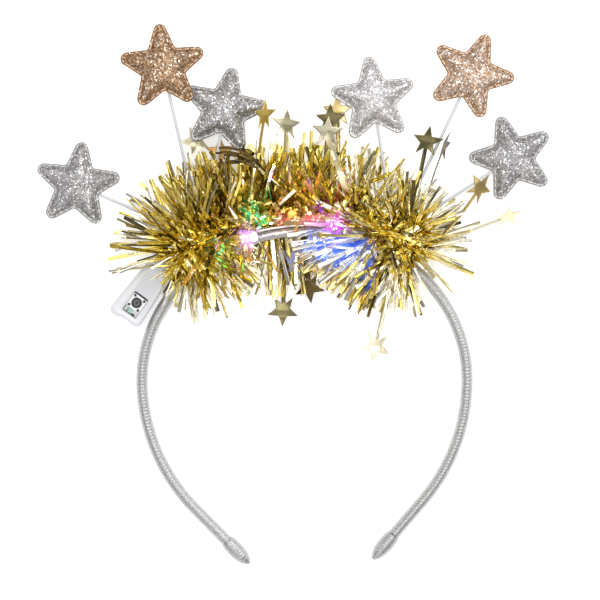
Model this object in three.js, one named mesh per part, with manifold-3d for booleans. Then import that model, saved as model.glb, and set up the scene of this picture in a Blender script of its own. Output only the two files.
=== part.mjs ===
// Light-up star headband lying on its back: a thread-wrapped alice band with a tinsel garland,
// padded glitter stars on sticks, small lights, punched foil stars and a battery box.
// Millimetres. +Z is up from the surface it lies on, +Y runs from the tips to the crown.
import * as THREE from "three";
import { mergeVertices } from "three/addons/utils/BufferGeometryUtils.js";
import Module from "manifold-3d";

const wasm = await Module();
wasm.setup();

const DEG = Math.PI / 180;
const FULL_TURN = 2 * Math.PI;
const GAP = 0.3; // left between neighbouring pieces
const WELD = 1e-4; // vertices closer than this are one
const CORNER_STEPS = 4; // facets in a rounded corner
const EDGE_STEPS = 2; // facets across a rounded edge

// Alice band: a half ellipse over the head, then an arc and a straight run down each side.
const BAND_HALF_WIDTH = 66.4;
const BAND_CROWN_RISE = 61.1;
const BAND_SIDE_RADIUS = 75.5;
const BAND_SIDE_SWEEP = 42.5 * DEG;
const BAND_TAIL = 31.5;
const BAND_HALF_THICK = 2.4;
const BAND_HALF_DEPTH = 3.5;
const BAND_STEPS = 50;
const BAND_SIDES = 10;
const NECK_HALF_THICK = 1.4; // the band's end inside its cap
const NECK_HALF_DEPTH = 2.5;
const NECK_LENGTH = 7;
const CAP_LENGTH = 13;
const CAP_SECTIONS = [
  { back: 0, thick: 0.8, deep: 1.4 },
  { back: 1.6, thick: 1.9, deep: 2.6 },
  { back: 4.2, thick: 2.9, deep: 3.6 },
  { back: 8, thick: 3.3, deep: 3.9 },
  { back: 11.4, thick: 3.1, deep: 3.9 },
  { back: CAP_LENGTH, thick: 2.7, deep: 3.7 },
];

// How it lies: on the tips, the tinsel and the battery box, with the crown a little higher.
const REST_TILT = 2.9 * DEG;

// Garland core beside the band. Angles run from the crown, to the right positive.
const GARLAND_ROUTE = [
  { angle: -42, outward: 7.6, forward: 3.4 },
  { angle: -33, outward: 8.2, forward: 3.4 },
  { angle: -18, outward: 7.2, forward: 0 },
  { angle: -7, outward: 6, forward: -5 },
  { angle: 7, outward: 6, forward: -5 },
  { angle: 18, outward: 6.4, forward: -1.5 },
  { angle: 34, outward: 6.4, forward: 4 },
  { angle: 44, outward: 6.4, forward: 3.6 },
];
const GARLAND_RADIUS = 2.6;
const GARLAND_STEPS = 22;
const GARLAND_SIDES = 8;
const LOCK_LENGTH = 31;
const LOCK_LENGTH_SPREAD = 7;
const LOCK_PROFILE = [
  { share: 0, radius: 0.9 },
  { share: 0.55, radius: 3.2 },
  { share: 1, radius: 1.6 },
];
const LOCK_FLATNESS = 0.45;
const LOCK_SIDES = 4;
const LOCK_STATIONS = 15;
const LOCKS_ROUND = 8;
const LOCK_END_LEAN = 58 * DEG;
const LOCK_LOOSE_LEAN = 44 * DEG;
const LOCK_TRIES = 40;
const LOCK_CLEARANCE = 0.35;
const LOCK_SAMPLES = 14;
const LOCK_FREE_SHARE = 0.3; // beyond this share of its length a lock stands apart from the others
const LOCK_SPACING = 1.5;
const TINSEL_DETAIL = 0.12; // slivers smaller than this between merged locks are dropped
const LOCK_PRESS = 0.4; // how far a low lock is pressed flat by the surface
const SURFACE_BLOCK = 8 * BAND_HALF_WIDTH; // side of the block that trims locks at the surface

// Numbers that set how the locks are scattered.
const SCATTER_STEP = 12.9898;
const SCATTER_START = 4.1;
const SCATTER_SPREAD = 43758.5453;
const STATION_SEED = 0.7;
const LEAN_SEED = 0.37;
const LENGTH_SEED = 0.11;

// Padded glitter stars: where each centre is, how far its top arm turns clockwise.
const STARS = [
  { x: -89.6, y: 83.1, forward: 1, turn: 8.9, root: -33.3, colour: 0xc9c7c6 },
  { x: -52.8, y: 129.7, forward: 6, turn: -2.6, root: -31.4, colour: 0xd08a5c },
  { x: -28.7, y: 111.4, forward: -2, turn: 13.9, root: -29.5, colour: 0xc9c7c6 },
  { x: 32.2, y: 113.5, forward: 2, turn: -4.2, root: 30, colour: 0xc9c7c6 },
  { x: 72.1, y: 122, forward: 5, turn: 24.1, root: 31.9, colour: 0xd08a5c },
  { x: 87.9, y: 87.5, forward: 0, turn: -14.6, root: 33.8, colour: 0xc9c7c6 },
];
const STAR_ARMS = 5;
const STAR_RADIUS = 17.7;
const STAR_NOTCH_RADIUS = 9.4;
const STAR_TIP_ROUND = 2.7;
const STAR_TIP_LEAST = 0.3;
const STAR_TIP_STEPS = 3;
const STAR_PROFILE = [
  { inset: 0, rise: 0.65 },
  { inset: 1.9, rise: 0.85 },
  { inset: 3, rise: 2 },
  { inset: 4.6, rise: 3 },
  { inset: 6.4, rise: 3.4 },
];
const STICK_RADIUS = 0.65;
const STICK_SIDES = 6;
const STICK_STEPS = 8;
const STICK_INSERT = 5; // how far a stick runs into its star past the notch
const STICK_BEND_OUTWARD = 11;
const STICK_ROOT_FORWARD = -1.6;
const STICK_STRAIGHT_SHARE = 0.85;

// Lights on short leads off one thin wire along the band's front corner.
const WIRE_RADIUS = 0.5;
const WIRE_OUTWARD = 2.4;
const WIRE_FORWARD = 3;
const WIRE_FIRST_ANGLE = -38;
const WIRE_LAST_ANGLE = 15;
const WIRE_ANGLE_STEP = 6.625;
const WIRE_BOX_ACROSS = 3.4; // where it comes out of the box's upper end
const WIRE_LEAD_IN = [
  { angle: -42, outward: 4, forward: -1 },
  { angle: -40, outward: 3.6, forward: 1.6 },
];
const WIRE_SIDES = 6;
const WIRE_STEPS = 30;
const LIGHTS = [
  { angle: -28.2, outward: 1.6, forward: 7.2, colour: 0x35d07a },
  { angle: -16, outward: 0.6, forward: 7, colour: 0xd9c8ff },
  { angle: -13.3, outward: 8.8, forward: 7, colour: 0x35d07a },
  { angle: -2.2, outward: 6.8, forward: 5, colour: 0xff7a1a },
  { angle: 13.2, outward: 4, forward: 7, colour: 0xff2fb4 },
  { angle: 10.2, outward: -8.3, forward: 9.4, colour: 0x2a4dff },
];
const BULB_RADIUS = 1.6;
const BULB_LENGTH = 4;
const LEAD_RADIUS = 0.4;
const BULB_SIDES = 8;
const BULB_DOME_STEPS = 2;

// Punched foil stars, each on a strip that leaves the garland at its root angle.
const FOIL_STARS = [
  { x: -40.9, y: 99.1, forward: -9, root: -21.5, lean: 8, colour: 0xe9dfb8 },
  { x: -30.8, y: 94.3, forward: -4.6, root: -24.5, lean: -6, colour: 0xb07a3a },
  { x: -22, y: 91.4, forward: 0.5, root: -17, lean: 55, colour: 0x6b5a2a },
  { x: -12.2, y: 108.8, forward: 3, root: -13, lean: 50, colour: 0xd9b24a },
  { x: -3.4, y: 104.7, forward: 0, root: -7, lean: -18, colour: 0xe6d8a0 },
  { x: 17.4, y: 109.2, forward: -6.5, root: 14, lean: 5, colour: 0xc9a85a },
  { x: 14.4, y: 106, forward: -3, root: 11, lean: 8, colour: 0x7a6c33 },
  { x: 13, y: 101, forward: 1.5, root: 7.5, lean: -5, colour: 0xcfc5a0 },
  { x: 53.3, y: 95.7, forward: 5, root: 38, lean: 14, colour: 0x7a6c33 },
  { x: 60.4, y: 93.4, forward: 4, root: 42, lean: 72, colour: 0x6b5a2a },
  { x: 74, y: 76.1, forward: 7, root: 43.4, lean: -45, colour: 0xd9b24a },
  { x: 85.4, y: 63.7, forward: 2, root: 44, lean: 50, colour: 0xe6d8a0 },
  { x: -7.7, y: 28.6, forward: -7, root: -4, lean: 3, colour: 0x9a8238 },
  { x: 3.3, y: 37.5, forward: -7.5, root: 1, lean: -8, colour: 0x9a6a3a },
  { x: 29.4, y: 13.3, forward: 9, root: 34, lean: 6, colour: 0xf2eedf },
];
const FOIL_RADIUS = 6.7;
const FOIL_NOTCH_RADIUS = 2.9;
const FOIL_THICK = 0.6;
const FOIL_STRIP_WIDTH = 1.7;
const FOIL_ROOT_GAP = 0.6;

// Battery box lying flat beside the band, with a push switch in its window.
const BOX_END = { x: -73.3, y: 27.3 }; // middle of the lower end
const BOX_TURN = 52 * DEG; // long side above +X
const BOX_WIDTH = 14.4; // at the lower end
const BOX_TOP_WIDTH = 10.6; // at the upper end
const BOX_LENGTH = 30.5;
const BOX_DEPTH = 12;
const BOX_CORNER = 2;
const BOX_EDGE_ROUND = 0.7;
const BOX_LIP = 0.9; // one side of the lower end stands out by this much
const BOX_LIP_SIDE = -2.6;
const WINDOW_WIDTH = 6.6;
const WINDOW_LENGTH = 9.2;
const WINDOW_ACROSS = 0.6;
const WINDOW_START = 3.6;
const WINDOW_DEPTH = 5.2;
const BOARD_THICK = 0.8;
const SWITCH_SIDE = 6;
const SWITCH_MARGIN = 0.7; // from the window's upper edge
const SWITCH_HEIGHT = 3.4;
const SWITCH_CORNER = 0.5;
const RIVET_SPACING = 4.5;
const RIVET_RADIUS = 0.45;
const RIVET_RISE = 0.15;
const RIVET_SIDES = 8;
const PLUNGER_RADIUS = 1.75;
const PLUNGER_RISE = 0.9;
const PLUNGER_SUNK = 1.3;
const PLUNGER_WELL = 2;
const ROUND_SIDES = 20;

// Colour, roughness and metalness of each finish.
const FINISHES = {
  thread: { color: 0xc4c4c6, roughness: 0.35, metalness: 0.9 },
  cap: { color: 0xb9b9bb, roughness: 0.4, metalness: 0.9 },
  tinsel: { color: 0xc9a648, roughness: 0.25, metalness: 1 },
  glitter: { color: 0xc9c7c6, roughness: 0.45, metalness: 0.6 },
  stick: { color: 0xf1efea, roughness: 0.5, metalness: 0 },
  wire: { color: 0xd8d4cc, roughness: 0.3, metalness: 0 },
  bulb: { color: 0xffffff, roughness: 0.2, metalness: 0 },
  foil: { color: 0xd9b24a, roughness: 0.2, metalness: 1 },
  plastic: { color: 0xf2f2ef, roughness: 0.3, metalness: 0 },
  board: { color: 0x2f7d4f, roughness: 0.5, metalness: 0 },
  plate: { color: 0xe4e2de, roughness: 0.3, metalness: 0.3 },
  button: { color: 0x141414, roughness: 0.4, metalness: 0 },
};

const Y_AXIS = new THREE.Vector3(0, 1, 0);
const Z_AXIS = new THREE.Vector3(0, 0, 1);

// A repeatable number from 0 to 1 for the nth scattered thing.
function scatter(n) {
  const wave = Math.sin(n * SCATTER_STEP + SCATTER_START) * SCATTER_SPREAD;
  return wave - Math.floor(wave);
}

function solidOf(geometry) {
  const bare = new THREE.BufferGeometry();
  bare.setAttribute("position", geometry.getAttribute("position"));
  bare.setIndex(geometry.index);
  const welded = mergeVertices(bare, WELD);
  return new wasm.Manifold(
    new wasm.Mesh({
      numProp: 3,
      vertProperties: welded.getAttribute("position").array,
      triVerts: new Uint32Array(welded.index.array),
    }),
  );
}

function geometryOf(solid) {
  const mesh = solid.getMesh();
  const geometry = new THREE.BufferGeometry();
  geometry.setAttribute("position", new THREE.BufferAttribute(mesh.vertProperties, 3));
  geometry.setIndex(new THREE.BufferAttribute(mesh.triVerts, 1));
  return geometry;
}

// A closed solid through rings of points, each ring turning right-handed about the way along.
function loft(rings) {
  const sides = rings[0].length;
  const last = rings.length - 1;
  const points = rings.flat();
  const index = [];
  const at = (ring, k) => ring * sides + (k % sides);
  for (let ring = 0; ring < last; ring += 1) {
    for (let k = 0; k < sides; k += 1) {
      index.push(at(ring, k), at(ring, k + 1), at(ring + 1, k + 1));
      index.push(at(ring, k), at(ring + 1, k + 1), at(ring + 1, k));
    }
  }
  const middles = [0, last].map((ring) => {
    const middle = new THREE.Vector3();
    rings[ring].forEach((point) => middle.addScaledVector(point, 1 / sides));
    return points.push(middle) - 1;
  });
  for (let k = 0; k < sides; k += 1) {
    index.push(middles[0], at(0, k + 1), at(0, k));
    index.push(middles[1], at(last, k), at(last, k + 1));
  }
  return new THREE.BufferGeometry().setFromPoints(points).setIndex(index);
}

function tube(points, radius, steps, sides) {
  const section = new THREE.Shape().absarc(0, 0, radius, 0, FULL_TURN);
  return new THREE.ExtrudeGeometry(section, {
    steps,
    curveSegments: sides / 2,
    bevelEnabled: false,
    extrudePath: new THREE.CatmullRomCurve3(points),
  });
}

// Band centreline from the left tip over the crown to the right tip.
const sideCentre = BAND_SIDE_RADIUS - BAND_HALF_WIDTH;
const tailTop = new THREE.Vector2(
  BAND_SIDE_RADIUS * Math.cos(BAND_SIDE_SWEEP) - sideCentre,
  -BAND_SIDE_RADIUS * Math.sin(BAND_SIDE_SWEEP),
);
const tip = new THREE.Vector2(
  tailTop.x - BAND_TAIL * Math.sin(BAND_SIDE_SWEEP),
  tailTop.y - BAND_TAIL * Math.cos(BAND_SIDE_SWEEP),
);
const centreline = new THREE.Path()
  .moveTo(-tip.x, tip.y)
  .lineTo(-tailTop.x, tailTop.y)
  .absarc(sideCentre, 0, BAND_SIDE_RADIUS, Math.PI + BAND_SIDE_SWEEP, Math.PI, true)
  .absellipse(0, 0, BAND_HALF_WIDTH, BAND_CROWN_RISE, Math.PI, 0, true)
  .absarc(-sideCentre, 0, BAND_SIDE_RADIUS, 0, -BAND_SIDE_SWEEP, true)
  .lineTo(tip.x, tip.y);
const bandLength = centreline.getLength();

function ovalRing(along, halfThick, halfDepth) {
  const point = centreline.getPoint(along / bandLength);
  const tangent = centreline.getTangent(along / bandLength);
  return Array.from({ length: BAND_SIDES }, (_, k) => {
    const turn = (k / BAND_SIDES) * FULL_TURN;
    const outward = halfThick * Math.cos(turn);
    return new THREE.Vector3(
      point.x - outward * tangent.y,
      point.y + outward * tangent.x,
      halfDepth * Math.sin(turn),
    );
  });
}

function bandGeometry() {
  const shoulder = CAP_LENGTH + GAP;
  const neckEnd = CAP_LENGTH - NECK_LENGTH;
  const full = bandLength - 2 * shoulder;
  const rings = [neckEnd, shoulder].map((s) => ovalRing(s, NECK_HALF_THICK, NECK_HALF_DEPTH));
  for (let step = 0; step <= BAND_STEPS; step += 1) {
    const along = shoulder + (full * step) / BAND_STEPS;
    rings.push(ovalRing(along, BAND_HALF_THICK, BAND_HALF_DEPTH));
  }
  for (const s of [shoulder, neckEnd]) {
    rings.push(ovalRing(bandLength - s, NECK_HALF_THICK, NECK_HALF_DEPTH));
  }
  return loft(rings);
}

// A cap is a pointed sleeve: its outside from tip to mouth, then its socket back inwards.
function capGeometry(fromRight) {
  const at = (back) => (fromRight ? bandLength - back : back);
  const rings = CAP_SECTIONS.map((row) => ovalRing(at(row.back), row.thick, row.deep));
  const socketEnd = CAP_LENGTH - NECK_LENGTH - GAP;
  for (const back of [CAP_LENGTH, socketEnd]) {
    rings.push(ovalRing(at(back), NECK_HALF_THICK + GAP, NECK_HALF_DEPTH + GAP));
  }
  if (fromRight) {
    rings.forEach((ring) => ring.reverse());
  }
  return loft(rings);
}

// A point beside the crown part of the band: outward from the head, forward off its plane.
function beside(angle, outward, forward) {
  const turn = angle * DEG;
  const normal = new THREE.Vector3(
    Math.sin(turn) / BAND_HALF_WIDTH,
    Math.cos(turn) / BAND_CROWN_RISE,
    0,
  ).normalize();
  return new THREE.Vector3(
    BAND_HALF_WIDTH * Math.sin(turn),
    BAND_CROWN_RISE * Math.cos(turn),
    forward,
  ).addScaledVector(normal, outward);
}

function garlandAt(angle) {
  const next = Math.max(1, GARLAND_ROUTE.findIndex((row) => row.angle >= angle));
  const from = GARLAND_ROUTE[next - 1];
  const to = GARLAND_ROUTE[next];
  const share = (angle - from.angle) / (to.angle - from.angle);
  return beside(
    angle,
    THREE.MathUtils.lerp(from.outward, to.outward, share),
    THREE.MathUtils.lerp(from.forward, to.forward, share),
  );
}

// Lying pose of the band and all that hangs on it.
const lying = new THREE.Group();
lying.rotation.x = REST_TILT;
lying.position.z = Math.max(
  ...CAP_SECTIONS.map((row) => {
    const y = tip.y + row.back * Math.cos(BAND_SIDE_SWEEP);
    return row.deep * Math.cos(REST_TILT) - y * Math.sin(REST_TILT);
  }),
);
lying.updateMatrixWorld();

// Star outline drawn in from its edge by an inset, at a height. Its straight edges all lie at one
// distance from the centre, so an inset star is a smaller star with rounder or sharper tips.
const armHalf = Math.PI / STAR_ARMS;
const tipMiddle = STAR_RADIUS - STAR_TIP_ROUND;
const notchAcross = STAR_NOTCH_RADIUS * Math.sin(armHalf);
const notchUp = STAR_NOTCH_RADIUS * Math.cos(armHalf);
const notchToTip = Math.hypot(notchAcross, tipMiddle - notchUp);
const edgeAngle =
  Math.atan2(notchAcross, tipMiddle - notchUp) - Math.asin(STAR_TIP_ROUND / notchToTip);
const starApex = notchUp + notchAcross / Math.tan(edgeAngle);
const edgeDistance = starApex * Math.sin(edgeAngle);

function starRing(inset, height) {
  const scale = 1 - inset / edgeDistance;
  const round = Math.max(STAR_TIP_ROUND - inset, STAR_TIP_LEAST);
  const middle = starApex * scale - round / Math.sin(edgeAngle);
  const swing = Math.PI / 2 - edgeAngle;
  const ring = [];
  for (let arm = 0; arm < STAR_ARMS; arm += 1) {
    const heading = Math.PI / 2 + 2 * armHalf * arm;
    for (let step = 0; step <= STAR_TIP_STEPS; step += 1) {
      const turn = heading + swing * ((2 * step) / STAR_TIP_STEPS - 1);
      ring.push(
        new THREE.Vector3(
          middle * Math.cos(heading) + round * Math.cos(turn),
          middle * Math.sin(heading) + round * Math.sin(turn),
          height,
        ),
      );
    }
    const notch = STAR_NOTCH_RADIUS * scale;
    const notchTurn = heading + armHalf;
    ring.push(
      new THREE.Vector3(notch * Math.cos(notchTurn), notch * Math.sin(notchTurn), height),
    );
  }
  return ring;
}

function paddedStar() {
  const front = STAR_PROFILE.map((row) => starRing(row.inset, row.rise));
  const back = STAR_PROFILE.map((row) => starRing(row.inset, -row.rise)).reverse();
  return loft([...back, ...front]);
}

// A stick runs straight out of its star, then turns down to the band behind the garland.
function stickPoints(star) {
  const middle = new THREE.Vector3(star.x, star.y, star.forward);
  const bend = beside(star.root, STICK_BEND_OUTWARD, STICK_ROOT_FORWARD);
  const root = beside(star.root, BAND_HALF_THICK + GAP, STICK_ROOT_FORWARD);
  const inside = STAR_NOTCH_RADIUS - STICK_INSERT;
  const top = middle.clone().addScaledVector(bend.clone().sub(middle).normalize(), inside);
  const straightEnd = top.clone().lerp(bend, STICK_STRAIGHT_SHARE);
  const rootStart = bend.clone().lerp(root, 1 - STICK_STRAIGHT_SHARE);
  return [top, top.clone().lerp(straightEnd, 0.5), straightEnd, rootStart, root];
}

function starWithSocket(star) {
  const points = stickPoints(star);
  const run = points[1].clone().sub(points[0]);
  const start = points[0].clone().addScaledVector(run.clone().normalize(), -GAP);
  const bore = new THREE.CylinderGeometry(
    STICK_RADIUS + GAP,
    STICK_RADIUS + GAP,
    run.length() + GAP,
    ROUND_SIDES / 2,
  );
  bore.applyQuaternion(new THREE.Quaternion().setFromUnitVectors(Y_AXIS, run.clone().normalize()));
  bore.translate(...start.clone().add(points[1]).multiplyScalar(0.5).toArray());
  const body = paddedStar();
  body.rotateZ(-star.turn * DEG);
  body.translate(star.x, star.y, star.forward);
  return geometryOf(solidOf(body).subtract(solidOf(bore)));
}

// Light: a domed bulb on a lead, its profile turned about the lead.
function lightGeometry(light) {
  const from = beside(light.angle, WIRE_OUTWARD, WIRE_FORWARD);
  const to = beside(light.angle, light.outward, light.forward);
  const way = to.clone().sub(from);
  const start = WIRE_RADIUS + GAP;
  const reach = way.length() + BULB_LENGTH / 2;
  const collar = Math.max(reach - BULB_LENGTH, start + GAP);
  const profile = [
    new THREE.Vector2(0, start),
    new THREE.Vector2(LEAD_RADIUS, start),
    new THREE.Vector2(LEAD_RADIUS, collar),
    new THREE.Vector2(BULB_RADIUS, collar),
  ];
  for (let step = 0; step < BULB_DOME_STEPS; step += 1) {
    const turn = ((step / BULB_DOME_STEPS) * Math.PI) / 2;
    const rise = reach - BULB_RADIUS + BULB_RADIUS * Math.sin(turn);
    profile.push(new THREE.Vector2(BULB_RADIUS * Math.cos(turn), rise));
  }
  profile.push(new THREE.Vector2(0, reach));
  const geometry = new THREE.LatheGeometry(profile, BULB_SIDES);
  geometry.applyQuaternion(new THREE.Quaternion().setFromUnitVectors(Y_AXIS, way.normalize()));
  geometry.translate(...from.toArray());
  return geometry;
}

function wirePoints() {
  const points = [
    boxPoint(WIRE_BOX_ACROSS, BOX_LENGTH + WIRE_RADIUS + GAP, BOX_DEPTH / 2),
    ...WIRE_LEAD_IN.map((row) => beside(row.angle, row.outward, row.forward)),
  ];
  for (let angle = WIRE_FIRST_ANGLE; angle <= WIRE_LAST_ANGLE; angle += WIRE_ANGLE_STEP) {
    points.push(beside(angle, WIRE_OUTWARD, WIRE_FORWARD));
  }
  return points;
}

// Where a foil star's strip leaves the garland, and the flat outline of star and strip.
function foilRoot(foil) {
  const core = garlandAt(foil.root);
  const star = new THREE.Vector3(foil.x, foil.y, foil.forward);
  const away = star.clone().sub(core).normalize();
  return core.addScaledVector(away, GARLAND_RADIUS + FOIL_ROOT_GAP);
}

function foilGeometry(foil) {
  const star = new THREE.Vector3(foil.x, foil.y, foil.forward);
  const root = foilRoot(foil);
  const up = star.clone().sub(root);
  const reach = up.length();
  up.normalize();
  const half = FOIL_STRIP_WIDTH / 2;
  const outline = [new THREE.Vector2(-half, -reach), new THREE.Vector2(half, -reach)];
  outline.push(new THREE.Vector2(half, -FOIL_NOTCH_RADIUS));
  for (let corner = 1; corner < 2 * STAR_ARMS; corner += 1) {
    const radius = corner % 2 ? FOIL_RADIUS : FOIL_NOTCH_RADIUS;
    const turn = armHalf * corner - Math.PI / 2;
    outline.push(new THREE.Vector2(radius * Math.cos(turn), radius * Math.sin(turn)));
  }
  outline.push(new THREE.Vector2(-half, -FOIL_NOTCH_RADIUS));
  const geometry = new THREE.ExtrudeGeometry(new THREE.Shape(outline), {
    depth: FOIL_THICK,
    bevelEnabled: false,
  });
  geometry.translate(0, 0, -FOIL_THICK / 2);
  geometry.rotateY(foil.lean * DEG);
  const side = up.clone().cross(Z_AXIS).normalize();
  const face = side.clone().cross(up);
  geometry.applyMatrix4(new THREE.Matrix4().makeBasis(side, up, face));
  geometry.translate(...star.toArray());
  return geometry;
}

// Battery box frame: across towards the band, along from its lower end, up from the surface.
const boxFrame = new THREE.Matrix4()
  .makeRotationZ(BOX_TURN - Math.PI / 2)
  .setPosition(BOX_END.x, BOX_END.y, 0);
const toLying = lying.matrixWorld.clone().invert();

function boxPoint(across, along, up) {
  return new THREE.Vector3(across, along, up).applyMatrix4(boxFrame).applyMatrix4(toLying);
}

function roundedOutline(left, bottom, right, top, corner) {
  return new THREE.Shape()
    .absarc(right - corner, top - corner, corner, 0, Math.PI / 2)
    .absarc(left + corner, top - corner, corner, Math.PI / 2, Math.PI)
    .absarc(left + corner, bottom + corner, corner, Math.PI, 1.5 * Math.PI)
    .absarc(right - corner, bottom + corner, corner, 1.5 * Math.PI, FULL_TURN);
}

function plate(outline, thick, bottom) {
  const geometry = new THREE.ExtrudeGeometry(outline, {
    depth: thick,
    curveSegments: CORNER_STEPS,
    bevelEnabled: false,
  });
  geometry.translate(0, 0, bottom);
  return geometry;
}

function post(radius, height, bottom, sides, across, along) {
  const geometry = new THREE.CylinderGeometry(radius, radius, height, sides);
  geometry.rotateX(Math.PI / 2);
  geometry.translate(across, along, bottom + height / 2);
  return geometry;
}

const windowMiddle = WINDOW_START + WINDOW_LENGTH / 2;
const switchAlong = WINDOW_START + WINDOW_LENGTH - SWITCH_MARGIN - SWITCH_SIDE / 2;
const boardBottom = BOX_DEPTH - WINDOW_DEPTH + GAP;
const switchBottom = boardBottom + BOARD_THICK + GAP;
const switchTop = switchBottom + SWITCH_HEIGHT;

// The sides lean in to the upper end. A corner's middle keeps its arc tangent to the leaning side.
const boxLean = Math.atan2((BOX_WIDTH - BOX_TOP_WIDTH) / 2, BOX_LENGTH);

function cornerAcross(along) {
  return BOX_WIDTH / 2 - BOX_CORNER / Math.cos(boxLean) - along * Math.tan(boxLean);
}

function boxGeometry() {
  const top = BOX_LENGTH - BOX_CORNER;
  const recessed = BOX_LIP + BOX_CORNER;
  const outline = new THREE.Shape()
    .absarc(cornerAcross(top), top, BOX_CORNER, boxLean, Math.PI / 2)
    .absarc(-cornerAcross(top), top, BOX_CORNER, Math.PI / 2, Math.PI - boxLean)
    .absarc(-cornerAcross(BOX_CORNER), BOX_CORNER, BOX_CORNER, Math.PI - boxLean, 1.5 * Math.PI)
    .lineTo(BOX_LIP_SIDE, 0)
    .lineTo(BOX_LIP_SIDE + BOX_LIP, BOX_LIP)
    .absarc(cornerAcross(recessed), recessed, BOX_CORNER, 1.5 * Math.PI, FULL_TURN + boxLean);
  const shell = new THREE.ExtrudeGeometry(outline, {
    depth: BOX_DEPTH - 2 * BOX_EDGE_ROUND,
    curveSegments: CORNER_STEPS,
    bevelThickness: BOX_EDGE_ROUND,
    bevelSize: BOX_EDGE_ROUND,
    bevelOffset: -BOX_EDGE_ROUND,
    bevelSegments: EDGE_STEPS,
  });
  shell.translate(0, 0, BOX_EDGE_ROUND);
  const pocket = new THREE.BoxGeometry(WINDOW_WIDTH, WINDOW_LENGTH, 2 * WINDOW_DEPTH);
  pocket.translate(WINDOW_ACROSS, windowMiddle, BOX_DEPTH);
  return geometryOf(solidOf(shell).subtract(solidOf(pocket)));
}

function boardGeometry() {
  const board = new THREE.BoxGeometry(
    WINDOW_WIDTH - 2 * GAP,
    WINDOW_LENGTH - 2 * GAP,
    BOARD_THICK,
  );
  board.translate(WINDOW_ACROSS, windowMiddle, boardBottom + BOARD_THICK / 2);
  return board;
}

function switchGeometry() {
  const half = SWITCH_SIDE / 2;
  const outline = roundedOutline(-half, -half, half, half, SWITCH_CORNER);
  let body = solidOf(plate(outline, SWITCH_HEIGHT, 0));
  for (const across of [-RIVET_SPACING / 2, RIVET_SPACING / 2]) {
    for (const along of [-RIVET_SPACING / 2, RIVET_SPACING / 2]) {
      const rivetBottom = SWITCH_HEIGHT - RIVET_RISE;
      const rivet = post(RIVET_RADIUS, 2 * RIVET_RISE, rivetBottom, RIVET_SIDES, across, along);
      body = body.add(solidOf(rivet));
    }
  }
  const wellBottom = SWITCH_HEIGHT - PLUNGER_WELL;
  const well = post(PLUNGER_RADIUS + GAP, 2 * PLUNGER_WELL, wellBottom, ROUND_SIDES, 0, 0);
  const geometry = geometryOf(body.subtract(solidOf(well)));
  geometry.translate(WINDOW_ACROSS, switchAlong, switchBottom);
  return geometry;
}

function plungerGeometry() {
  const height = PLUNGER_RISE + PLUNGER_SUNK;
  const bottom = switchTop - PLUNGER_SUNK;
  return post(PLUNGER_RADIUS, height, bottom, ROUND_SIDES, WINDOW_ACROSS, switchAlong);
}

// Everything the tinsel must grow round, as short round-ended bars in the lying frame.
function bar(from, to, radius) {
  return { line: new THREE.Line3(from, to), radius };
}

function barsAlong(points, radius) {
  return points.slice(1).map((to, k) => bar(points[k], to, radius));
}

function tinselObstacles() {
  const bandPoints = centreline.getSpacedPoints(BAND_STEPS);
  const depth = BAND_HALF_DEPTH - BAND_HALF_THICK;
  const bars = [depth, -depth].flatMap((forward) =>
    barsAlong(
      bandPoints.map((point) => new THREE.Vector3(point.x, point.y, forward)),
      BAND_HALF_THICK,
    ),
  );
  bars.push(...barsAlong(wirePoints(), WIRE_RADIUS));
  STARS.forEach((star) => bars.push(...barsAlong(stickPoints(star), STICK_RADIUS)));
  LIGHTS.forEach((light) => {
    const from = beside(light.angle, WIRE_OUTWARD, WIRE_FORWARD);
    const to = beside(light.angle, light.outward, light.forward);
    bars.push(bar(from, to, BULB_RADIUS));
  });
  FOIL_STARS.forEach((foil) => {
    const star = new THREE.Vector3(foil.x, foil.y, foil.forward);
    bars.push(bar(foilRoot(foil), star, FOIL_STRIP_WIDTH / 2), bar(star, star, FOIL_RADIUS));
  });
  const boxBar = BOX_DEPTH / 4;
  for (const side of [-1, 1]) {
    for (const up of [boxBar, BOX_DEPTH - boxBar]) {
      const from = boxPoint(side * (BOX_WIDTH / 2 - boxBar), 0, up);
      const to = boxPoint(side * (BOX_TOP_WIDTH / 2 - boxBar), BOX_LENGTH, up);
      bars.push(bar(from, to, boxBar));
    }
  }
  return bars;
}

function lockRadius(share) {
  const next = LOCK_PROFILE.findIndex((row) => row.share >= share && row.share > 0);
  const from = LOCK_PROFILE[next - 1];
  const to = LOCK_PROFILE[next];
  const way = (share - from.share) / (to.share - from.share);
  return THREE.MathUtils.lerp(from.radius, to.radius, way);
}

// Whether a lock from root to end stays off every bar, sampled along its length.
function lockIsClear(root, end, bars) {
  const nearest = new THREE.Vector3();
  for (let k = 0; k <= LOCK_SAMPLES; k += 1) {
    const share = k / LOCK_SAMPLES;
    const point = root.clone().lerp(end, share);
    const reach = lockRadius(share) + LOCK_CLEARANCE;
    for (const one of bars) {
      one.line.closestPointToPoint(point, true, nearest);
      if (nearest.distanceTo(point) < one.radius + reach) {
        return false;
      }
    }
  }
  return true;
}

// One lock's tip: out from the core, but turned to lie along the surface if it would pass it.
function lockTip(root, direction, length) {
  const tipPoint = root.clone().addScaledVector(direction, length);
  const low = lying.localToWorld(tipPoint.clone());
  const floorRise = lockRadius(1) * LOCK_FLATNESS - LOCK_PRESS;
  if (low.z >= floorRise) {
    return tipPoint;
  }
  const high = lying.localToWorld(root.clone());
  const flat = new THREE.Vector2(low.x - high.x, low.y - high.y);
  const drop = high.z - floorRise;
  flat.setLength(Math.sqrt(length * length - drop * drop));
  return new THREE.Vector3(high.x + flat.x, high.y + flat.y, floorRise).applyMatrix4(toLying);
}

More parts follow.
